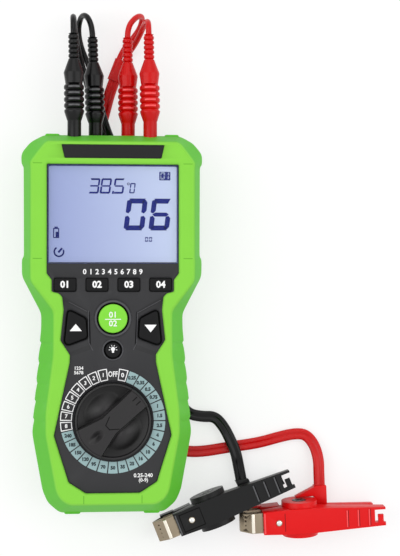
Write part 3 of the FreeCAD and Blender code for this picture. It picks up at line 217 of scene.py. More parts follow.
# Rounds the corners of a line of points along the first axis: corner c between a and b, cut
# back on its two edges, becomes (1-t)^2 a + 2t(1-t) c + t^2 b. runs adds points on the edges.
def rounded(points, cut, bends=5, runs=0, closed=True):
    points = np.asarray(points, float)
    core = points if closed else points[1:-1]
    before = np.roll(points, 1, 0) if closed else points[:-2]
    after = np.roll(points, -1, 0) if closed else points[2:]
    back, ahead = before - core, after - core
    backLength = np.maximum(np.linalg.norm(back, axis=-1, keepdims=True), 1e-9)
    aheadLength = np.maximum(np.linalg.norm(ahead, axis=-1, keepdims=True), 1e-9)
    a = core + back * np.minimum(cut / backLength, 0.48)
    b = core + ahead * np.minimum(cut / aheadLength, 0.48)
    t = np.linspace(0, 1, bends).reshape((1, bends) + (1,) * (points.ndim - 1))
    a1, b1, c1 = a[:, None], b[:, None], core[:, None]
    curve = (1 - t) ** 2 * a1 + 2 * t * (1 - t) * c1 + t * t * b1
    following = np.roll(a, -1, 0) if closed else np.concatenate([a[1:], points[-1:]])
    if runs:
        s = (np.arange(1, runs + 1) / (runs + 1)).reshape((1, runs) + (1,) * (points.ndim - 1))
        curve = np.concatenate([curve, b1 + s * (following[:, None] - b1)], axis=1)
    curve = curve.reshape((-1,) + points.shape[1:])
    return curve if closed else np.concatenate([points[:1], curve, points[-1:]])


# Right-half outline, top to bottom, as a full counter-clockwise loop.
def mirrored(line):
    half = np.array(line, float)
    return np.vstack([half[::-1], half * (-1, 1)])


# A loop moved inwards: each corner goes along the mitre of its two edges.
def inset(loop, depth):
    loop = np.asarray(loop, float)
    before = loop - np.roll(loop, 1, 0)
    after = np.roll(loop, -1, 0) - loop
    before /= np.linalg.norm(before, axis=1, keepdims=True)
    after /= np.linalg.norm(after, axis=1, keepdims=True)
    normal = np.stack([-before[:, 1] - after[:, 1], before[:, 0] + after[:, 0]], axis=1)
    share = 1 + (before * after).sum(1, keepdims=True)
    return loop + normal * depth / np.maximum(share, 0.4)


# A flat loop at height z.
def at(loop, z):
    return np.column_stack([loop, np.full(len(loop), float(z))])


# The corners of a box between two places along x and two along y.
def boxLoop(x0, x1, y0, y1):
    return np.array([(x0, y0), (x1, y0), (x1, y1), (x0, y1)], float)


# A circle as a loop: centre + radius (cos a, sin a), with a point at each step in degrees.
def circleLoop(centre, radius, step=7.5):
    angle = np.radians(np.arange(0, 360, step))
    return np.array(centre) + radius * np.stack([np.cos(angle), np.sin(angle)], axis=1)


# Loops stacked into a skin, each end closed by a flat face.
def loftParts(loops):
    rows, columns = len(loops), len(loops[0])
    faces = gridFaces(rows, columns).tolist()
    faces += [list(range(columns))[::-1], list(range((rows - 1) * columns, rows * columns))]
    return np.concatenate(loops), faces


# Loops joined into an open wall that faces inwards.
def wallParts(loops):
    return np.concatenate(loops), gridFaces(len(loops), len(loops[0]))[:, ::-1].tolist()


# A flat area between an outer loop and holes in it, facing up or down.
def flatParts(outer, holes, up=True):
    loops = [outer] + list(holes)
    points = np.concatenate(loops)
    tri = np.array(geometry.tessellate_polygon([[Vector(p) for p in loop] for loop in loops]))
    a, b, c = (points[tri[:, i], :2] for i in range(3))
    turn = (b - a)[:, 0] * (c - a)[:, 1] - (b - a)[:, 1] * (c - a)[:, 0]
    wrong = (turn < 0) if up else (turn > 0)
    tri[wrong] = tri[wrong][:, ::-1]
    return points, tri.tolist()


# Several sets of points and faces as one.
def joined(parts):
    points, faces, start = [], [], 0
    for places, quads in parts:
        points.append(np.asarray(places, float))
        faces += [[i + start for i in face] for face in quads]
        start += len(places)
    return np.concatenate(points), faces


# Merges the points of a closed piece that lie on each other, and turns its faces outward.
def welded(piece, reach=0.002):
    work = bmesh.new()
    work.from_mesh(piece.data)
    bmesh.ops.remove_doubles(work, verts=work.verts, dist=reach * mm)
    bmesh.ops.recalc_face_normals(work, faces=work.faces)
    work.to_mesh(piece.data)
    work.free()
    return piece


# A pad with the outline of the corners: straight sides from low, a quarter circle of radius edge
# up to high, and over it a crown whose height is crown * (1 - share^2) from rim to middle.
def padParts(corners, cut, low, high, edge, crown=0.0, bends=5):
    outline = rounded(corners, cut, bends)
    angle = np.linspace(0, math.pi / 2, 6)
    loops = [at(outline, low)]
    for a in angle:
        loops.append(at(inset(outline, edge * (1 - math.cos(a))), high - edge * (1 - math.sin(a))))
    if crown:
        middle = outline.mean(0)
        for share in (0.75, 0.5, 0.25):
            loops.append(at(middle + (loops[len(angle)][:, :2] - middle) * share,
                            high + crown * (1 - share ** 2)))
    return loftParts(loops)


# A profile of (radius, along) turned about the Y axis through x, z.
def turnedParts(profile, x, z, count=48):
    angle = np.linspace(0, 2 * math.pi, count, endpoint=False)
    radius, along = np.asarray(profile, float).T[:, :, None]
    return loftParts(np.stack([x + radius * np.sin(angle), np.repeat(along, count, 1),
                               z + radius * np.cos(angle)], axis=-1))


# Flat shapes in millimetres, each a loop of corners, as plates between low and high.
def plates(name, shapes, finish, low, high, body="meter"):
    parts = [loftParts([at(np.asarray(shape, float), low), at(np.asarray(shape, float), high)])
             for shape in shapes]
    return makePiece(name, *joined(parts), finish, body)


# A line of points as short bars of one width.
def strokes(line, width):
    bars = []
    for a, b in zip(np.array(line[:-1], float), np.array(line[1:], float)):
        along = (b - a) / np.linalg.norm(b - a)
        side = np.array([-along[1], along[0]]) * width / 2
        a, b = a - along * width / 2, b + along * width / 2
        bars.append([a - side, b - side, b + side, a + side])
    return bars


# Points along an arc: centre + radius (cos a, sin a), a going from start to end in degrees.
def arc(centre, radius, start, end, count=24):
    angle = np.radians(np.linspace(start, end, count))
    return np.stack([centre[0] + radius * np.cos(angle), centre[1] + radius * np.sin(angle)], axis=1)


# A copy of a CAD node with its edges rounded.
def softened(node, finish, width=0.3, segments=2, body="meter"):
    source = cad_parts[node]
    mesh = source.data.copy()
    mesh.name = node + "Soft"
    piece = placed(node + "Soft", mesh)
    mesh.transform(source.matrix_world)
    welded(piece)
    mesh.materials.clear()
    mesh.materials.append(finishes[finish])
    mesh.polygons.foreach_set("use_smooth", [True] * len(mesh.polygons))
    bevel = piece.modifiers.new("edges", "BEVEL")
    bevel.width = width * mm
    bevel.segments = segments
    bevel.limit_method = "ANGLE"
    bevel.angle_limit = math.radians(30)
    bevel.harden_normals = True
    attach(piece, body)
    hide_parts(node)
    return piece


# Gives a CAD node that stays its finish.
def dressed(node, finish):
    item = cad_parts[node]
    item.data.materials.clear()
    item.data.materials.append(finishes[finish])


view = {"place": (-0.021, 0.021037, 0.834684), "turn": (0.0063, -0.0891, 0.0002), "lens": 90.23}
camera = placed("camera", bpy.data.cameras.new("camera"))
camera.location = view["place"]
camera.rotation_euler = view["turn"]
camera.data.lens = view["lens"]
camera.data.sensor_width = 36
camera.data.clip_end = 10
bpy.context.scene.camera = camera


# 1 for what the camera sees, in reflections and through clear pieces too, otherwise 0.
def directRays(tree):
    rays = addNode(tree, "ShaderNodeLightPath").outputs
    share = addNode(tree, "ShaderNodeMath", {0: rays["Is Camera Ray"], 1: rays["Is Glossy Ray"]})
    return addNode(tree, "ShaderNodeMath", {0: share.outputs[0], 1: rays["Is Transmission Ray"]})


# seen directly, the floor is mostly plain white, and its shadows stay faint
ground = {"half": 3, "height": -0.0002, "white": 0.62}
half = ground["half"]
floorMesh = bpy.data.meshes.new("floor")
floorMesh.from_pydata(at(boxLoop(-half, half, -half, half), 0).tolist(), [], [(0, 1, 2, 3)])
floor = placed("floor", floorMesh)
floor.location.z = ground["height"]
floorMesh.materials.append(makeFinish("plain white floor", "#FFFFFF", 0.9, 2.0, 0.001, 0.0))
tree = floorMesh.materials[0].node_tree
seen = addNode(tree, "ShaderNodeMath", {0: directRays(tree).outputs[0], 1: ground["white"]},
               operation="MULTIPLY")
white = addNode(tree, "ShaderNodeEmission", {"Color": (1, 1, 1, 1), "Strength": 1.0})
surface = findNode(tree, "OUTPUT_MATERIAL").inputs["Surface"]
matt = surface.links[0].from_socket
shown = addNode(tree, "ShaderNodeMixShader", {0: seen.outputs[0], 1: matt, 2: white.outputs[0]})
tree.links.new(shown.outputs[0], surface)


# A soft lamp aimed at the middle of the table.
def addLamp(name, place, size, watts):
    lamp = placed(name, bpy.data.lights.new(name, "AREA"))
    lamp.location = place
    lamp.rotation_euler = (-Vector(place)).to_track_quat("-Z", "Y").to_euler()
    lamp.data.shape = "RECTANGLE"
    lamp.data.size, lamp.data.size_y = size
    lamp.data.energy = watts


addLamp("softboxLeft", (-0.85, 0.15, 1.0), (0.9, 1.2), 4.8)
addLamp("softboxRight", (0.85, 0.05, 1.0), (0.9, 1.2), 3.6)
addLamp("softboxFar", (0.0, 0.95, 1.0), (1.0, 0.7), 1.6)

world = bpy.data.worlds.new("studio")
bpy.context.scene.world = world
world.use_nodes = True
sky = world.node_tree
sky.nodes.clear()
plain = addNode(sky, "ShaderNodeBackground", {"Color": (1, 1, 1, 1), "Strength": 0.75})
seen = addNode(sky, "ShaderNodeBackground", {"Color": (1, 1, 1, 1), "Strength": 1.0})
mix = addNode(sky, "ShaderNodeMixShader", {0: directRays(sky).outputs[0], 1: plain.outputs[0],
                                           2: seen.outputs[0]})
addNode(sky, "ShaderNodeOutputWorld", {"Surface": mix.outputs[0]})
bpy.context.scene.view_settings.view_transform = "Standard"
print("camera, floor and light")


# cords: routes as control points, from plug to splitter and from splitter to clip
leadWidth = 3.4
twinWidth = 6.8
leadRoutes = {
    ("black", "outer"): [(-22.274, 166.397, 34.0), (-22.331, 171.897, 34.0), (-22.5, 177.4, 28.6),
                   (-22.2, 177.5, 20.4), (-21.6, 171.9, 14.2), (-19.9, 162.0, 9.0),
                   (-16.675, 150.863, 4.317), (-15.064, 145.627, 4.8)],
    ("black", "inner"): [(-11.245, 166.37, 22.0), (-11.461, 172.566, 22.0), (-14.6, 179.9, 18.4),
                   (-18.0, 180.6, 10.8), (-19.7, 173.6, 5.4), (-18.0, 163.6, 3.0),
                   (-12.947, 152.01, 4.317), (-11.336, 146.773, 4.8)],
    ("red", "inner"): [(9.151, 166.399, 22.0), (9.109, 172.399, 22.0), (14.2, 179.4, 18.6),
                 (18.6, 181.2, 11.4), (17.4, 175.2, 5.4), (12.2, 168.4, 2.6),
                 (6.742, 161.834, 2.4), (4.778, 156.696, 2.4)],
    ("red", "outer"): [(20.877, 166.392, 34.0), (20.794, 171.192, 34.0), (20.6, 175.3, 28.4),
                 (19.0, 174.5, 20.6), (16.8, 169.7, 13.4), (13.8, 164.6, 6.6),
                 (10.385, 160.442, 2.4), (8.422, 155.304, 2.4)],
}
twinRoutes = {
    "black": [(-9.2, 133.2, 6.0), (-7.589, 127.964, 6.483), (-5.6, 120.8, 6.1),
              (-2.9, 112.6, 5.4), (0.4, 105.4, 2.4), (4.6, 98.4, 1.8), (12.0, 89.6, 1.8),
              (21.8, 80.4, 1.8), (32.2, 71.8, 1.8), (38.2, 59.0, 1.8), (37.9, 38.0, 1.8),
              (38.5, 12.0, 1.8), (38.1, -14.0, 1.8), (38.7, -33.0, 1.8), (40.0, -46.6, 1.8),
              (46.0, -55.0, 1.9), (54.6, -56.8, 2.2), (62.2, -56.6, 3.0), (67.4, -62.6, 4.9),
              (71.4, -70.6, 6.2), (74.6, -78.0, 6.2), (76.591, -87.325, 4.428),
              (77.863, -94.199, 4.787)],
    "red": [(1.9, 143.7, 2.4), (-0.063, 138.562, 2.4), (-1.9, 132.4, 1.8), (-4.4, 122.6, 1.8),
            (-6.8, 114.4, 1.8), (-9.3, 106.8, 1.8), (-8.2, 99.0, 1.8), (-3.0, 92.2, 1.8),
            (5.2, 84.6, 1.8), (14.0, 75.4, 1.8), (25.8, 65.4, 1.8), (31.2, 52.6, 1.8),
            (30.8, 33.0, 1.8), (31.3, 10.0, 1.8), (30.9, -14.0, 1.8), (31.8, -38.0, 1.8),
            (31.4, -56.0, 1.8), (34.4, -69.0, 1.8), (42.4, -77.4, 1.8), (54.4, -77.9, 1.8),
            (71.0, -75.2, 1.8), (88.6, -72.9, 1.8), (101.6, -69.3, 1.8), (110.8, -67.4, 1.8),
            (117.6, -68.0, 2.2), (122.4, -74.0, 3.8), (124.6, -82.4, 6.0),
            (124.642, -90.895, 6.701), (124.995, -97.873, 6.274)],
}


# A curve whose control points are the route's points, order 3, through its two ends.
def routeCurve(name, route, width=0.0):
    curve = bpy.data.curves.new(name, "CURVE")
    curve.dimensions = "3D"
    curve.resolution_u = 12
    spline = curve.splines.new("NURBS")
    spline.points.add(len(route) - 1)
    for place, corner in zip(spline.points, route):
        place.co = (corner[0] * mm, corner[1] * mm, corner[2] * mm, 1)
    spline.order_u = 3
    spline.use_endpoint_u = True
    if width:
        curve.bevel_depth = width / 2 * mm
        curve.bevel_resolution = 7
        curve.use_fill_caps = True
    return curve


# The points in metres that a route's curve follows.
def curvePoints(curve):
    holder = placed("route", curve)
    mesh = bpy.data.meshes.new_from_object(holder)
    places = np.empty(len(mesh.vertices) * 3)
    mesh.vertices.foreach_get("co", places)
    bpy.data.objects.remove(holder)
    return places.reshape(-1, 3)


# The length along a line of points, as the sum of its steps.
def lengthOf(places):
    return float(np.linalg.norm(np.diff(places, axis=0), axis=1).sum())


# Twin cable of wire radius r: round edges x = r + r cos a, and between them a valley whose half
# height is r - 0.55 cos(pi x / 2r)^2. Across is the heading turned level, as the cable lies flat.
def twinParts(path):
    r = twinWidth / 4
    heading = np.gradient(path, axis=0)
    heading /= np.linalg.norm(heading, axis=1, keepdims=True)
    across = np.cross(heading, (0, 0, 1))
    across /= np.linalg.norm(across, axis=1, keepdims=True)
    upward = np.cross(across, heading)
    edge = np.radians(np.linspace(-90, 90, 9))
    valley = np.linspace(r, -r, 9)[1:-1]
    half = np.concatenate([
        np.stack([r + r * np.cos(edge), r * np.sin(edge)], axis=1),
        np.stack([valley, r - 0.55 * np.cos(math.pi * valley / (2 * r)) ** 2], axis=1)])
    loop = np.concatenate([half, -half])[None]
    rings = path[:, None] + loop[..., :1] * across[:, None] + loop[..., 1:] * upward[:, None]
    points, faces = loftParts(rings)
    return points, [face[::-1] for face in faces]


for (colour, end), route in leadRoutes.items():
    name = colour + end.title()
    path = curvePoints(routeCurve(name + "Route", route))
    curve = routeCurve(name + "Lead", route, leadWidth)
    curve.materials.append(finishes["cord" + colour.title()])
    lead = placed(name + "Lead", curve)
    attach(lead, "meter")
    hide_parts(f"{colour}_{end}_lead")
for colour, route in twinRoutes.items():
    path = curvePoints(routeCurve(colour + "TwinRoute", route))
    points, faces = twinParts(path / mm)
    twin = makePiece(colour + "TwinCable", points, faces, "cord" + colour.title(),
                     stands=[colour + "_twin_cable"], sharp=60)
    print(colour, "twin length", round(lengthOf(path) / mm, 1))
print("cords")


# outlines of the meter, right half from top to bottom
waistLine = [(38.8, 108.0), (46.6, 103.9), (51.9, 97.4), (51.9, 91.4), (50.6, 90.2),
             (50.4, 38.4), (51.6, 36.8), (51.5, 27.0), (40.5, 5.8), (40.6, -2.9),
             (42.2, -20.0), (45.3, -55.0), (45.7, -62.5), (39.7, -95.5), (36.7, -102.4),
             (30.0, -108.2)]
faceLine = [(37.6, 103.2), (42.2, 97.4), (46.6, 91.4), (46.6, 89.2), (46.4, 88.0),
            (46.4, 37.8), (46.6, 36.2), (46.4, 24.0), (33.6, 7.2), (33.6, -2.9),
            (33.7, -17.5), (37.8, -49.0), (37.9, -62.0), (32.0, -94.0), (29.4, -98.6),
            (24.6, -101.8)]
backLine = [(36.5, 105.4), (42.9, 100.9), (48.0, 94.8), (48.0, 90.4), (47.3, 89.2),
            (47.3, 38.9), (48.2, 37.4), (48.2, 28.5), (37.4, 7.0), (37.4, -2.9),
            (38.8, -19.0), (41.8, -54.5), (42.0, -62.0), (36.2, -94.3), (33.2, -100.5),
            (26.8, -105.6)]
caseLine = [(35.5, 100.0), (43.4, 89.5), (43.4, 25.0), (31.2, 8.0), (31.3, -17.0),
            (35.3, -48.0), (35.5, -62.0), (29.4, -93.5), (23.0, -101.0)]
panelLine = [(37.1, 90.0), (37.1, 28.5), (34.3, 25.0), (34.3, 18.3), (30.3, 17.4),
             (28.4, 15.3), (27.6, 8.0), (29.4, -9.0), (24.1, -17.2), (24.2, -21.5),
             (33.0, -62.4), (24.8, -88.6), (15.2, -94.8)]
backOpeningLine = [(28.0, 93.0), (37.0, 84.0), (37.0, 27.0), (28.4, 12.0), (28.4, -20.0),
                   (30.8, -48.0), (30.8, -62.0), (27.4, -90.5), (20.0, -96.5)]
badgeCorners = mirrored([(28.8, 100.8), (27.1, 93.3)])
panelTop = 49.5
bootTop = 51.6

# boot: the heights of its back, waist and shoulder, its rounding, notches and seats
boot = {"back": 5.0, "waist": (16.0, 33.0), "shoulder": 49.6, "backInset": 2.2,
        "faceInset": (1.3, 1.9), "corner": 2.6, "edge": 1.1, "fillet": 1.7, "scallop": 1.15,
        "fade": 3.4, "step": 1.2, "scallops": (-10, -21, -32.6, -43.6, -54), "tray": 49.8,
        "wall": 7.0, "seat": 51.0}


# Width and height grid of the boot's side: outline of corner i at level j, rounded both ways,
# then below each notch yk, with s = yk - y, x moves in by scallop * min(s / step, 1) * exp(-s / fade).
def bootSkin():
    back, waist, face = mirrored(backLine), mirrored(waistLine), mirrored(faceLine)
    levels = [(inset(back, boot["backInset"]), boot["back"]), (back, boot["back"])]
    levels += [(waist, z) for z in boot["waist"]] + [(face, boot["shoulder"])]
    levels += [(inset(face, depth), bootTop) for depth in boot["faceInset"]]
    corners = np.stack([at(loop, z) for loop, z in levels], axis=1)
    columns = rounded(corners, boot["corner"], 5, 22)
    rows = rounded(np.swapaxes(columns, 0, 1), boot["edge"], 6, 3, closed=False)
    y, z = rows[..., 1], rows[..., 2]
    band = np.clip((z - 9) / 4, 0, 1) * np.clip((49.4 - z) / 5, 0, 1)
    below = [np.maximum(place - y, 0) for place in boot["scallops"]]
    notch = sum(np.minimum(s / boot["step"], 1) * np.exp(-s / boot["fade"]) for s in below)
    rows[..., 0] -= np.sign(rows[..., 0]) * boot["scallop"] * notch * band
    return rows


# The skin, the panel's opening with a fillet round it that widens beside the display, the
# badge's seat, and the tray that holds the case, closed by flat faces between their rims.
def bootPiece():
    rows = bootSkin()
    skin = (rows.reshape(-1, 3), gridFaces(rows.shape[0], rows.shape[1]).tolist())
    panelHole = rounded(mirrored(panelLine), 0.8, 4, 2)
    wide = 1.3 + 1.0 * np.clip((panelHole[:, 1:] - 24) / 8, 0, 1)
    wall = [at(panelHole, boot["tray"])]
    wall += [at(inset(panelHole, -wide * (1 - math.cos(a))), bootTop - boot["fillet"] * (1 - math.sin(a)))
             for a in np.linspace(0, math.pi / 2, 6)]
    seat = rounded(inset(badgeCorners, -0.15), 0.6, 4)
    seatWall = [at(seat, boot["seat"]), at(seat, bootTop)]
    inner = rounded(inset(mirrored(caseLine), -0.3), 2.0, 4)
    opening = rounded(mirrored(backOpeningLine), 2.0, 4)
    inside = [at(opening, boot["back"]), at(opening, boot["wall"]), at(inner, boot["wall"]),
              at(inner, boot["tray"])]
    flats = [flatParts(rows[-1], [wall[-1], seatWall[-1]]), flatParts(seatWall[0], []),
             flatParts(inside[-1], [wall[0]], up=False), flatParts(rows[0], [inside[0]], up=False)]
    parts = [skin, wallParts(wall), wallParts(seatWall), wallParts(inside)] + flats
    return welded(makePiece("rubberBoot", *joined(parts), "bootRubber", stands=["rubber_boot"], sharp=50))


# A block with rounded edges and corners between two places along each axis.
def blockParts(x0, x1, y0, y1, z0, z1, edge):
    outline = rounded(boxLoop(x0, x1, y0, y1), edge * 1.5, 5)
    angle = np.linspace(0, math.pi / 2, 5)
    low = [at(inset(outline, edge * (1 - math.sin(a))), z0 + edge * (1 - math.cos(a))) for a in angle]
    high = [at(inset(outline, edge * (1 - math.cos(a))), z1 - edge * (1 - math.sin(a))) for a in angle]
    return loftParts(low + high)


# The same blocks at the left and the right, each from its x0, x1, y0 and y1.
def pairParts(places, z0, z1, edge):
    return joined([blockParts(*sorted((side * x0, side * x1)), y0, y1, z0, z1, edge)
                   for side in (-1, 1) for x0, x1, y0, y1 in places])


bootPiece()
makePiece("bootBumpers", *pairParts([(30.0, 38.4, 101.0, 108.7), (18.0, 27.4, -109.0, -102.0)],
                                    12.0, 34.0, 0.9), "bootRubber")
makePiece("bootFeet", *pairParts([(34.0, 46.0, 88.0, 101.0), (21.0, 33.0, -103.0, -92.0)],
                                 0.0, 6.0, 1.0), "bootRubber")
seams = []
for side in (-1, 1):
    for y in (36.9, 90.3):
        seams += strokes([(side * 39.8, y), (side * 44.6, y)], 0.35)
    seams += strokes([(side * 16.3, -96.2), (side * 16.3, -100.3)], 0.4)
plates("bootSeams", seams, "bootSeam", bootTop - 0.1, bootTop + 0.015)
makePiece("badgePlate", *padParts(badgeCorners, 0.6, boot["seat"], bootTop + 0.15, 0.2), "badge",
          stands=["badge_plate"])
print("boot")

# case halves and the pieces behind them
softened("front_case", "panelPlastic", 0.3, 2)
softened("rear_case", "casePlastic", 0.35, 2)
softened("tilt_stand", "casePlastic", 0.4, 2, "stand")
softened("battery_door", "casePlastic", 0.4, 2, "door")
softened("battery_door_screw", "screwSteel", 0.15, 2, "door")
softened("case_screws", "screwSteel", 0.15, 2)
plainFinishes = {
    "lcd_module": "diffuser", "backlight_frame": "diffuser", "main_board": "board",
    "board_screws": "screwSteel", "keypad_mat": "keyRubber", "switch_rotor": "casePlastic",
    "detent_balls": "screwSteel", "detent_springs": "springSteel", "buzzer": "keyRubber",
    "jack_block": "casePlastic", "input_jacks": "brass", "batteries": "cellWrap",
    "battery_contacts": "springSteel", "plug_pins": "brass", "display_window": "window"}
for node, finish in plainFinishes.items():
    dressed(node, finish)
print("case")

# display: gradient glass, a dark rim of painted shade round its edge, and liquid crystal segments above it
glassHigh, segmentLow, segmentHigh = 47.92, 47.95, 48.0
windowHalf = 36.6
windowEnds = (34.3, 89.7)


# The glass colour runs from a deeper violet blue at the left to a pale blue at the right.
def glassFinish():
    material = makeFinish("backlit display glass", "#A9B4DE", 0.35, 0.4, 0.0, 0.0)
    tree = material.node_tree
    shader = findNode(tree, "BSDF_PRINCIPLED")
    place = addNode(tree, "ShaderNodeTexCoord").outputs["Object"]
    across = addNode(tree, "ShaderNodeSeparateXYZ", {"Vector": place}).outputs["X"]
    along = addNode(tree, "ShaderNodeMapRange", {"Value": across, "From Min": -windowHalf * mm,
                                                 "From Max": windowHalf * mm}).outputs[0]
    ramp = addNode(tree, "ShaderNodeValToRGB", {"Fac": along})
    ramp.color_ramp.elements[0].color = linearColour("#8894C2")
    ramp.color_ramp.elements[1].color = linearColour("#B8C4E0")
    tree.links.new(ramp.outputs[0], shader.inputs["Base Color"])
    tree.links.new(ramp.outputs[0], shader.inputs["Emission Color"])
    shader.inputs["Emission Strength"].default_value = 0.1
    return material


# The window's outline, moved in at its left, right, near and far edges.
def windowLoop(left=0.0, right=0.0, near=0.0, far=0.0):
    return boxLoop(-windowHalf + left, windowHalf - right, windowEnds[0] + near, windowEnds[1] - far)


finishes["glass"] = glassFinish()
makePiece("displayGlass", *padParts(windowLoop(), 0.5, 46.5, glassHigh, 0.05), "glass")
# a rim of painted shade round the display's edge, widest at its far side and its left
outer, inner = rounded(windowLoop(), 0.5, 4), rounded(windowLoop(0.5, 0.4, 0.2, 0.7), 1.2, 4)
welded(makePiece("displayEdgeShadeRim", *wallParts([
    at(inner, segmentHigh), at(outer, segmentHigh), at(outer, segmentLow), at(inner, segmentLow),
    at(inner, segmentHigh)]), "border"))


# Seven-segment digit: its lit bars as polygons, in a box width by height, leaning by slant.
def digitShapes(lit, x, y, width, height, bar, slant):
    half = height / 2
    gap = bar * 0.12
    level = {"a": height - bar / 2, "g": half, "d": bar / 2}
    upright = {"f": (bar / 2, half, height), "b": (width - bar / 2, half, height),
               "e": (bar / 2, 0, half), "c": (width - bar / 2, 0, half)}
    shapes = []
    for key in lit:
        if key in level:
            c = level[key]
            left, right, h = gap + bar * 0.3, width - gap - bar * 0.3, bar / 2
            grow = {"a": bar * 0.45, "d": -bar * 0.45}.get(key, 0)
            loop = [(left + max(0, grow), c - h), (right - max(0, grow), c - h),
                    (right + min(0, grow), c + h), (left - min(0, grow), c + h)]
            if key == "g":
                loop = [(left, c), (left + h, c - h * 0.8), (right - h, c - h * 0.8), (right, c),
                        (right - h, c + h * 0.8), (left + h, c + h * 0.8)]
        else:
            c, low, high = upright[key]
            h = bar / 2
            low, high = low + bar * 0.45, high - bar * 0.45
            loop = [(c - h, low), (c + h * 0.1, low - bar * 0.25), (c + h, low + bar * 0.3),
                    (c + h, high - bar * 0.3), (c + h * 0.1, high + bar * 0.2), (c - h, high)]
        shapes.append([(x + px + (py - half) * slant, y + py) for px, py in loop])
    return shapes


digits = {"0": "abcdef", "1": "bc", "3": "abgcd", "5": "afgcd", "6": "afgedc", "8": "abcdefg"}
# signs are placed in a 400 x 556 frame: its scale at one height, the eye's height over the table,
# and a place in the frame with the same place in millimetres
signFrame = {"scale": 0.579, "height": 28.0, "eye": 725.0, "px": 91.4, "py": 278.0, "x": -12.0, "y": 26.0}


def framePlace(px, py, z=segmentHigh):
    k = signFrame["scale"] * (signFrame["eye"] - z) / (signFrame["eye"] - signFrame["height"])
    return (px - signFrame["px"]) * k + signFrame["x"], signFrame["y"] - (py - signFrame["py"]) * k


# A row of digits: text, left edges and base line in the frame, then width, height, bar and slant.
def digitRow(text, edges, base, *size):
    return [shape for digit, px in zip(text, edges)
            for shape in digitShapes(digits[digit], *framePlace(px, base), *size)]


# the display's signs: rows of digits, and strokes of a cell and a clock with their widths
signs = {
    "rows": [("385", (88.8, 100.4, 113.6), 193.4, 5.9, 8.6, 1.0, 0.14),
             ("06", (125.2, 150.2), 230.2, 11.6, 18.0, 2.8, 0.13),
             ("0", (129.6,), 193.0, 3.0, 5.8, 0.65, 0.14),
             ("00", (144.9, 149.0), 241.6, 1.7, 2.7, 0.5, 0.05)],
    "strokes": [(((53.6, 237.6), (53.6, 228.6), (58.6, 228.6), (58.6, 237.6), (53.6, 237.6)), 0.55),
                (((55.0, 227.4), (57.2, 227.4)), 0.7), (((56.9, 233.2), (56.9, 236.6)), 1.5),
                (((58.9, 251.8), (61.4, 249.0)), 1.1)],
    "point": (111.6, 193.6), "ring": (128.2, 183.6), "clock": (58.9, 251.8),
    "box": ((159.2, 170.4), (179.8, 171.2)), "boxRow": ("01", (160.2, 164.4), 178.9, 2.7, 4.2, 0.8, 0.05)}
segments = [shape for row in signs["rows"] for shape in digitRow(*row)]
x, y = framePlace(*signs["point"])
segments.append([(x, y), (x + 1.0, y), (x + 1.3, y + 1.6), (x + 0.3, y + 1.6)])
for line, width in signs["strokes"]:
    segments += strokes([framePlace(*p) for p in line], width)
segments += strokes(arc(framePlace(*signs["ring"]), 0.6, 0, 330, 12), 0.3)
segments += strokes(arc(framePlace(*signs["clock"]), 2.6, 130, 375, 26), 0.85)
plates("displaySegments", segments, "segmentInk", segmentLow, segmentHigh)
(x0, y0), (x1, y1) = [framePlace(px, py) for px, py in zip(*signs["box"])]
plates("displayBox", [rounded(boxLoop(x0, x1, y0, y1), 0.5, 4)], "segmentInk", segmentLow,
       segmentHigh - 0.01)
plates("displayBoxDigits", digitRow(*signs["boxRow"]), "pale", segmentHigh - 0.01, segmentHigh)
print("display")


# Numbers as flat meshes, each entry (text, x, y, height).
def printed(name, entries, finish, z, body="meter", weight=0.02, stretch=1.0):
    parts = []
    for text, x, y, height in entries:
        curve = bpy.data.curves.new(name, "FONT")
        curve.body = text
        curve.align_x = "CENTER"
        curve.align_y = "CENTER"
        curve.size = height * 1.38
        curve.offset = weight * height
        curve.resolution_u = 2
        holder = placed(name, curve)
        mesh = bpy.data.meshes.new_from_object(holder)
        places = np.empty(len(mesh.vertices) * 3)
        mesh.vertices.foreach_get("co", places)
        places = places.reshape(-1, 3)[:, :2] * (stretch, 1) + (x, y)
        parts.append((at(places, z), [list(p.vertices) for p in mesh.polygons]))
        bpy.data.objects.remove(holder)
    return makePiece(name, *joined(parts), finish, body)


# the panel's numbers and painted highlights along the edges of its hollows, both placed in the frame
panel = {"title": (84.5, 6.25, 272.0, 3.0),
         "corners": [("1234", 78.6, 368.4, 1.9), ("5678", 78.6, 372.9, 1.9),
                     ("0.25-240", 143.2, 476.2, 2.2), ("(0-9)", 143.4, 480.9, 2.0)],
         "edges": [(((88.2, 311), (88.8, 343), (92.6, 350.4)), 0.3),
                   (((137.2, 314), (136.6, 343), (133.4, 349.8)), 0.3),
                   (((137.4, 313.0), (160.6, 300.4)), 0.3), (((68.6, 302.0), (86.6, 311.4)), 0.25)]}
start, pitch, line, high = panel["title"]
printed("titleNumbers", [(str(i), *framePlace(start + pitch * i, line, panelTop), high) for i in range(10)],
        "printWhite", panelTop + 0.02, weight=0.03)
printed("cornerNumbers", [(text, *framePlace(px, py, panelTop), high)
                          for text, px, py, high in panel["corners"]],
        "printWhite", panelTop + 0.02, weight=0.03)
hollowEdgeHighlights = [bar for line, width in panel["edges"]
               for bar in strokes([framePlace(*p, panelTop) for p in line], width)]
plates("hollowEdgeHighlights", hollowEdgeHighlights, "panelEdge", panelTop - 0.2, panelTop + 0.03)


# A raised ring of four edges about a centre, its top flat between two slopes.
def ringParts(centre, inner, outer, high):
    edges = [(inner, -0.2), (inner + 0.25, high), (outer - 0.35, high), (outer, -0.2), (inner, -0.2)]
    return wallParts([at(circleLoop(centre, radius, 5), panelTop + z) for radius, z in edges])


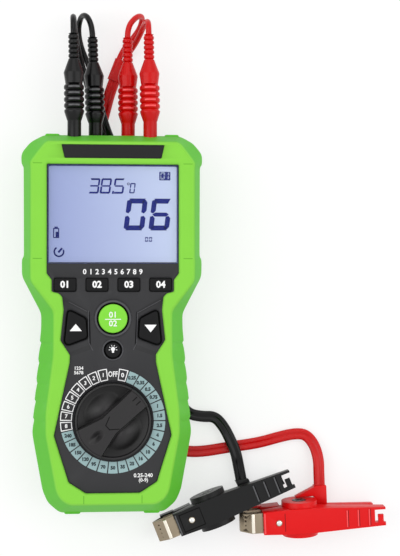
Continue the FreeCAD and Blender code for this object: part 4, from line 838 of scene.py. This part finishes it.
# keys: the row of four, the two arrow keys, and the round select and light keys
keys = {"low": 48.0, "row": 22.2, "pitch": 17.9, "half": (6.1, 3.65), "select": (0.0, 3.2),
        "selectRadius": 8.1, "light": (0.0, -14.5), "lightRadius": 4.3,
        "arrow": [(15.3, 3.1), (23.6, 7.4), (25.2, 7.0), (27.0, -9.9), (25.2, -11.5), (14.5, -7.5)],
        "up_key": [(69.5, 331.2), (81.7, 331.2), (75.6, 324.0)],
        "down_key": [(144.4, 325.0), (150.6, 332.6), (156.6, 325.0)]}
keyTop = panelTop + 1.2
# the raised rings round the select and light keys carry painted highlights
welded(makePiece("keyRings", *joined([ringParts(keys["select"], 9.0, 10.4, 0.28),
                                      ringParts(keys["light"], 5.1, 6.1, 0.2)]), "panelEdge"))
print("panel")

for place in range(4):
    x, y = (place - 1.5) * keys["pitch"], keys["row"]
    wide, deep = keys["half"]
    body = f"mode_key_{place + 1}"
    corners = boxLoop(x - wide, x + wide, y - deep, y + deep)
    makePiece(f"modeKey{place + 1}", *padParts(corners, 1.1, keys["low"], keyTop, 0.5, 0.15), "keyRubber",
              body, [body])
    printed(f"modeMark{place + 1}", [(f"0{place + 1}", x, y, 3.8)], "printWhite", keyTop + 0.16, body, 0.05)
rims = []
for side, body in ((-1, "up_key"), (1, "down_key")):
    corners = np.array([(side * x, y) for x, y in keys["arrow"][::-side]])
    makePiece(body.replace("_k", "K"), *padParts(corners, 1.6, keys["low"], keyTop, 0.6, 0.2), "keyRubber",
              body, [body])
    rims.append(rounded(corners, 1.6, 5))
    plates(body[:-4] + "Mark", [[framePlace(*p, 50.8) for p in keys[body]]], "printWhite", keyTop + 0.1,
           keyTop + 0.22, body)
selectLoop = circleLoop(keys["select"], keys["selectRadius"])
lightLoop = circleLoop(keys["light"], keys["lightRadius"])
# painted shade: the dark gap round each arrow key and round key, as thin black rims just outside the keys
keyShadeRimParts = []
for rim in rims + [selectLoop, lightLoop]:
    inner, outer = inset(rim, -0.12), inset(rim, -0.75)
    keyShadeRimParts.append(wallParts([at(inner, panelTop + 0.02), at(outer, panelTop + 0.02), at(outer, panelTop - 0.2),
                           at(inner, panelTop - 0.2), at(inner, panelTop + 0.02)]))
welded(makePiece("keyShadeRims", *joined(keyShadeRimParts), "grooveBlack"))
makePiece("selectKey", *padParts(selectLoop, 0.1, keys["low"], panelTop + 1.6, 0.7, 0.25, 2),
          "selectGreen", "select_key", ["select_key"])
printed("selectMark", [("01", 0.0, 5.2, 3.4), ("02", 0.0, 0.3, 3.4)], "printWhite", panelTop + 1.9,
        "select_key", 0.02)
plates("selectBar", [boxLoop(-4.5, 4.5, 2.55, 3.0)], "printWhite", panelTop + 1.8, panelTop + 1.92,
       "select_key")
makePiece("lightKey", *padParts(lightLoop, 0.1, keys["low"], keyTop, 0.5, 0.2, 2), "keyRubber",
          "light_key", ["light_key"])
bulb = arc((0.0, -13.9), 1.15, -60, 240, 21).tolist() + [(-0.55, -16.0), (0.55, -16.0)]
rays = []
for angle in range(-10, 200, 40):
    rays += strokes([arc((0.0, -14.0), reach, angle, angle, 1)[0] for reach in (1.75, 2.3)], 0.3)
plates("lightMark", [bulb] + rays, "printWhite", keyTop + 0.12, keyTop + 0.24, "light_key")
print("keys")

# dial: a ring of printed boxes with numbers, a step apart in clock angle
dialCentre = np.array([0.0, -54.4])
dial = {"inner": 23.0, "outer": 29.6, "step": 12, "halfBox": 5.3, "line": 0.5, "low": 49.75, "high": 49.8,
        "firstSize": 24, "firstNumber": 264, "zero": 12}
sizes = ["0.25", "0.35", "0.5", "0.75", "1", "1.5", "2.5", "4", "6", "10", "16", "25", "35",
         "50", "70", "95", "120", "150", "185", "240"]


# Corners of a box on the ring from one clock angle to another, in degrees.
def ringBox(start, end, inner, outer):
    angle = np.radians(np.linspace(start, end, 4))
    away = np.stack([np.sin(angle), np.cos(angle)], axis=1)
    return np.concatenate([dialCentre + away * outer, dialCentre + away[::-1] * inner])[::-1]


# A place on the dial at a clock angle: centre + radius (sin a, cos a).
def onRing(angle, radius):
    return dialCentre + radius * np.array([math.sin(math.radians(angle)), math.cos(math.radians(angle))])


dressed("dial_ring", "panelPlastic")
sizeAngles = [dial["firstSize"] + dial["step"] * i for i in range(len(sizes))]
numberAngles = [dial["firstNumber"] + dial["step"] * i for i in range(8)]
reach, line, r0, r1 = dial["halfBox"], dial["line"], dial["inner"], dial["outer"]
plates("dialBoxes", [ringBox(angle - reach, angle + reach, r0, r1 - 0.1) for angle in sizeAngles],
       "dialBlue", dial["low"], dial["high"])
outlined = []
for angle in [dial["zero"]] + numberAngles:
    a0, a1 = angle - reach, angle + reach
    turn = math.degrees(line / 26)
    outlined += [ringBox(a0, a1, r1 - line, r1), ringBox(a0, a1, r0, r0 + line),
                 ringBox(a0, a0 + turn, r0 + line, r1 - line), ringBox(a1 - turn, a1, r0 + line, r1 - line)]
plates("dialOutlines", outlined, "printWhite", dial["low"], dial["high"])
printed("dialSizes", [(text, *onRing(angle, 26.4), 1.9) for text, angle in zip(sizes, sizeAngles)],
        "dialInk", dial["high"] + 0.01, weight=0.09)
printed("dialNumbers", [(str(8 - i), *onRing(angle, 26.3), 2.2) for i, angle in enumerate(numberAngles)]
        + [("0", *onRing(dial["zero"], 26.2), 2.5)], "printWhite", dial["high"] + 0.01, weight=0.04)
printed("dialOff", [("OFF", *onRing(0, 26.2), 3.1)], "printWhite", dial["high"] + 0.01, weight=0.03,
        stretch=0.72)
print("dial")

# knob: height over the table as a function of radius and angle
knob = {"top": 57.5, "rimTop": 54.5, "bowl": 50.2, "bowlRise": 1.3, "mound": 4.6, "dimple": 2.6,
        "dimplePlace": -11.6, "low": 48.6, "turn": 48.0, "steps": 480,
        "rim": [(20.1, 0.0), (20.25, 0.25), (20.6, 0.35), (21.0, 0.3), (21.25, 0.0), (21.3, -0.4)]}


# With u along the bar and v across it: half(u) is the bar's half width, w = smooth((|v| - half)/1.1)
# blends its top with the bowl, each finger recess has a mound
# mound * (1 - (u/12)^2 - ((|v| - 9)/8.5)^2)^1.5 beside the bar, and an oval dimple lies in its tail.
def knobParts():
    radii = np.concatenate([np.linspace(0.02, 19.6, 118), [19.75, 19.9]])
    angle = np.linspace(0, 2 * math.pi, knob["steps"], endpoint=False)
    r, a = np.meshgrid(radii, angle, indexing="ij")
    u, v = r * np.sin(a), r * np.cos(a)
    half = np.where(u > -3, 5.35 + (u + 3) / 24 * 0.5, 5.35 + (-3 - u) / 17 * 4.9)
    bar = np.clip((np.abs(v) - half) / 1.1, 0, 1)
    bar = bar * bar * (3 - 2 * bar)
    bowl = knob["bowl"] + knob["bowlRise"] * np.clip((r - 12) / 8, 0, 1) ** 2
    mound = np.maximum(1 - (u / 12) ** 2 - ((np.abs(v) - 9.0) / 8.5) ** 2, 0)
    bowl = bowl + knob["mound"] * mound ** 1.5
    top = knob["top"] - 0.0012 * r * r
    z = top * (1 - bar) + np.minimum(bowl, top - 0.3) * bar
    along = u - knob["dimplePlace"]
    drop = np.hypot(along / np.where(along > 0, 3.6, 5.6), v / 2.5)
    z -= knob["dimple"] * np.clip(1.12 - drop, 0, 1) * (1 - bar)
    rim = np.array(knob["rim"] + [(knob["rim"][-1][0], 0.0)])[:, :, None]
    level = np.maximum(z[-1], knob["rimTop"]) + rim[:, 1] - 0.25
    level[-1] = knob["low"]
    edge = np.stack([rim[:, 0] * np.sin(angle), rim[:, 0] * np.cos(angle), level], axis=-1)
    points, faces = loftParts(np.concatenate([np.stack([u, v, z], axis=-1), edge]))
    points[:, :2] = onKnob(points[:, :2])
    return points, faces


# Places along and across the bar as places on the panel.
def onKnob(places):
    turn = math.radians(90 - knob["turn"])
    spin = np.array([[math.cos(turn), -math.sin(turn)], [math.sin(turn), math.cos(turn)]])
    return np.asarray(places, float) @ spin.T + dialCentre


makePiece("selectorKnob", *knobParts(), "knobPlastic", "knob", ["selector_knob"], sharp=70)
# painted shade: dark plates stand for the shade in the bar's engraved chevron and tip
chevron = strokes(onKnob([(0.4, 3.6), (-4.3, 1.5), (-4.3, -1.7), (-0.2, -5.0)]), 0.5)
tip = strokes(onKnob([(18.8, 1.5), (15.4, 1.5), (15.4, -1.5), (18.8, -1.5)]), 0.55)
plates("knobLines", chevron, "knobLine", 57.35, 57.51, "knob")
plates("knobTip", tip, "knobLine", 56.9, 57.2, "knob")
print("knob")

# plugs: along y from their necks in the sockets to their relief's end
plug = {"neckEnd": 116.4, "radius": 5.8, "ribStart": 123.0, "ribPitch": 3.5, "ribDepth": 0.95,
        "reliefStart": 151.9, "reliefEnd": 165.6, "reliefPitch": 2.74, "reliefDepth": 0.75}
plugPlaces = {"black_outer_plug": (-21.75, 34.0, 0.6), "black_inner_plug": (-9.5, 22.0, 2.0),
              "red_inner_plug": (9.5, 22.0, 0.4), "red_outer_plug": (21.75, 34.0, 1.0)}


# Rings cut into a radius: r = radius - depth * (1 - |sin(pi (y - start) / pitch)|)^power.
def ringedProfile(y, start, pitch, radius, depth, power):
    cut = (1 - np.abs(np.sin((y - start) / pitch * math.pi))) ** power
    return np.stack([radius - depth * cut, y], axis=1)


# Half outline of a plug: neck, shoulder, four ribs, straight grip, cone and relief rings.
def plugProfile():
    ribs = np.linspace(plug["ribStart"], plug["ribStart"] + 4 * plug["ribPitch"], 81)
    relief = np.linspace(plug["reliefStart"], plug["reliefEnd"], 101)
    return np.concatenate([
        [(3.95, 98.0), (3.95, 116.0), (4.2, 116.5), (5.6, 120.9), (plug["radius"], 121.8)],
        ringedProfile(ribs, plug["ribStart"], plug["ribPitch"], plug["radius"], plug["ribDepth"], 1.4),
        [(plug["radius"], 143.4), (5.74, 143.9), (5.5, 144.6), (3.15, 151.0), (2.95, 151.6)],
        ringedProfile(relief, plug["reliefStart"], plug["reliefPitch"], 3.0, plug["reliefDepth"], 1.6),
        [(2.8, 166.1), (2.2, 166.4)]])


# Beyond its neck a plug turns about the neck's end by its lean, in degrees.
def leaned(points, x, lean):
    angle = math.radians(lean)
    across, along = points[:, 0] - x, points[:, 1] - plug["neckEnd"]
    turned = np.column_stack([x + across * math.cos(angle) - along * math.sin(angle),
                              plug["neckEnd"] + across * math.sin(angle) + along * math.cos(angle),
                              points[:, 2]])
    return np.where(along[:, None] > -0.3, turned, points)


# A patch on a plug's upper side between two places along it: an arc of radius r over the angle
# spread, thick enough to sink into the grip.
def patchParts(x, z, start, end, spread, r):
    angle = np.radians(np.linspace(-spread, spread, 13))
    arcs = [np.column_stack([x + s * np.sin(angle), z + s * np.cos(angle)]) for s in (r, r - 1.2)]
    loop = np.concatenate([arcs[0], arcs[1][::-1]])
    return loftParts([np.insert(loop, 1, y, axis=1) for y in (start, end)])


ribTops = plug["ribStart"] + plug["ribPitch"] * (np.arange(4) + 0.5)
for node, (x, z, lean) in plugPlaces.items():
    colour = "Black" if node.startswith("black") else "Red"
    points, faces = turnedParts(plugProfile(), x, z)
    makePiece(node + "Grip", leaned(points, x, lean), faces, "plug" + colour, stands=[node], sharp=60)
    points, faces = patchParts(x, z, 137.4, 143.6, 38, 5.92)
    makePiece(node + "Pad", leaned(points, x, lean), faces, "plug" + colour)
    # painted highlights along the crests of the ribs
    points, faces = joined([patchParts(x, z, y - 0.45, y + 0.45, 32, 5.9) for y in ribTops])
    makePiece(node + "Crests", leaned(points, x, lean), faces, "rubbed" + colour)
for colour in ("black", "red"):
    softened(f"{colour}_splitter", "cord" + colour.title(), 0.9, 4)
print("plugs")

for colour in ("black", "red"):
    shade = "clip" + colour.title()
    topBody = f"{colour}_clip_top"
    softened(f"{colour}_clip_upper_lever", shade, 0.5, 3, topBody)
    softened(f"{colour}_clip_lower_lever", shade, 0.5, 3)
    softened(f"{colour}_clip_upper_jaw", "jawNickel", 0.15, 2, topBody)
    softened(f"{colour}_clip_lower_jaw", "jawNickel", 0.15, 2)
    softened(f"{colour}_clip_strain_relief", shade, 0.5, 3)
    softened(f"{colour}_clip_pivot_screw", "screwBlack", 0.2, 2)
    dressed(f"{colour}_clip_spring", "springSteel")


# clips: nose, heading and roll of each, in degrees, and the painted shade lines along its frame
clipPlaces = {"black": ((26.6, -124.0), 21.5, -3.0), "red": ((75.9, -117.0), 2.9, 3.5)}
frameEnds = {"black": (15.6, 28.4), "red": (25.4,)}
frameSides = {"black": (-5.4, 4.8), "red": ()}
clip = {"top": 24.0, "rivet": (22.0, 0.0), "rivetRadius": 1.85, "rivetRise": 0.9,
        "lines": (63.0, 69.6, 76.2), "highlightAhead": 0.95, "lift": 1.15}


# Places in a clip's own frame, x from its nose and z up from its back, as places on the table:
# rolled about x, turned to its heading, and moved to its nose.
def onClip(colour, points):
    nose, heading, roll = clipPlaces[colour]
    a, b = math.radians(heading), math.radians(roll)
    x, y, z = np.asarray(points, float).T
    y, z = y * math.cos(b) - z * math.sin(b), y * math.sin(b) + z * math.cos(b)
    return np.column_stack([nose[0] + x * math.cos(a) - y * math.sin(a),
                            nose[1] + x * math.sin(a) + y * math.cos(a), z + clip["lift"]])


# Parts in a clip's own frame as one piece that rides on its upper lever.
def clipPiece(name, colour, parts, finish):
    points, faces = joined(parts)
    makePiece(f"{colour}{name}", onClip(colour, points), faces, finish, f"{colour}_clip_top")


# the rivet's head: half a flattened ball
domeAngle = np.linspace(0.0, math.pi / 2 - 0.05, 8)
top, radius = clip["top"], clip["rivetRadius"]
for colour in ("black", "red"):
    shade = colour.title()
    dome = [at(circleLoop(clip["rivet"], radius), top - 0.1)]
    dome += [at(circleLoop(clip["rivet"], radius * math.cos(a)), top + 0.1 + clip["rivetRise"] * math.sin(a))
             for a in domeAngle]
    clipPiece("RivetHead", colour, [loftParts(dome)], "rivetSteel")
    # a painted highlight along the bend of the jaw
    clipPiece("JawBendHighlight", colour, [blockParts(6.1, 8.1, -5.75, 5.75, 21.2, 22.08, 0.4)], "bendHighlight")
    # painted highlights on the ridges and along the nose
    highlightBars = [blockParts(x - clip["highlightAhead"], x - 0.15, -4.9, 4.9, top, top + 0.45, 0.15)
            for x in clip["lines"]]
    highlightBars.append(blockParts(13.1, 14.3, -6.2, 6.2, 23.0, top + 0.06, 0.4))
    clipPiece("Rubbed", colour, highlightBars, "rubbed" + shade)
    # painted shade: dark lines beside the ridges and round the frame
    shadeLinePlaces = [(x, x + 0.5, -4.9, 4.9) for x in clip["lines"]]
    shadeLinePlaces += [(15.6, 28.4, y, y + 0.6) for y in frameSides[colour]]
    shadeLinePlaces += [(x, x + 0.5, -5.4, 5.4) for x in frameEnds[colour]]
    shadeLineBars = [blockParts(*cut, top - 0.2, top + 0.04, 0.05) for cut in shadeLinePlaces]
    clipPiece("ShadeLines", colour, shadeLineBars, "groove" + shade)
print("clips")
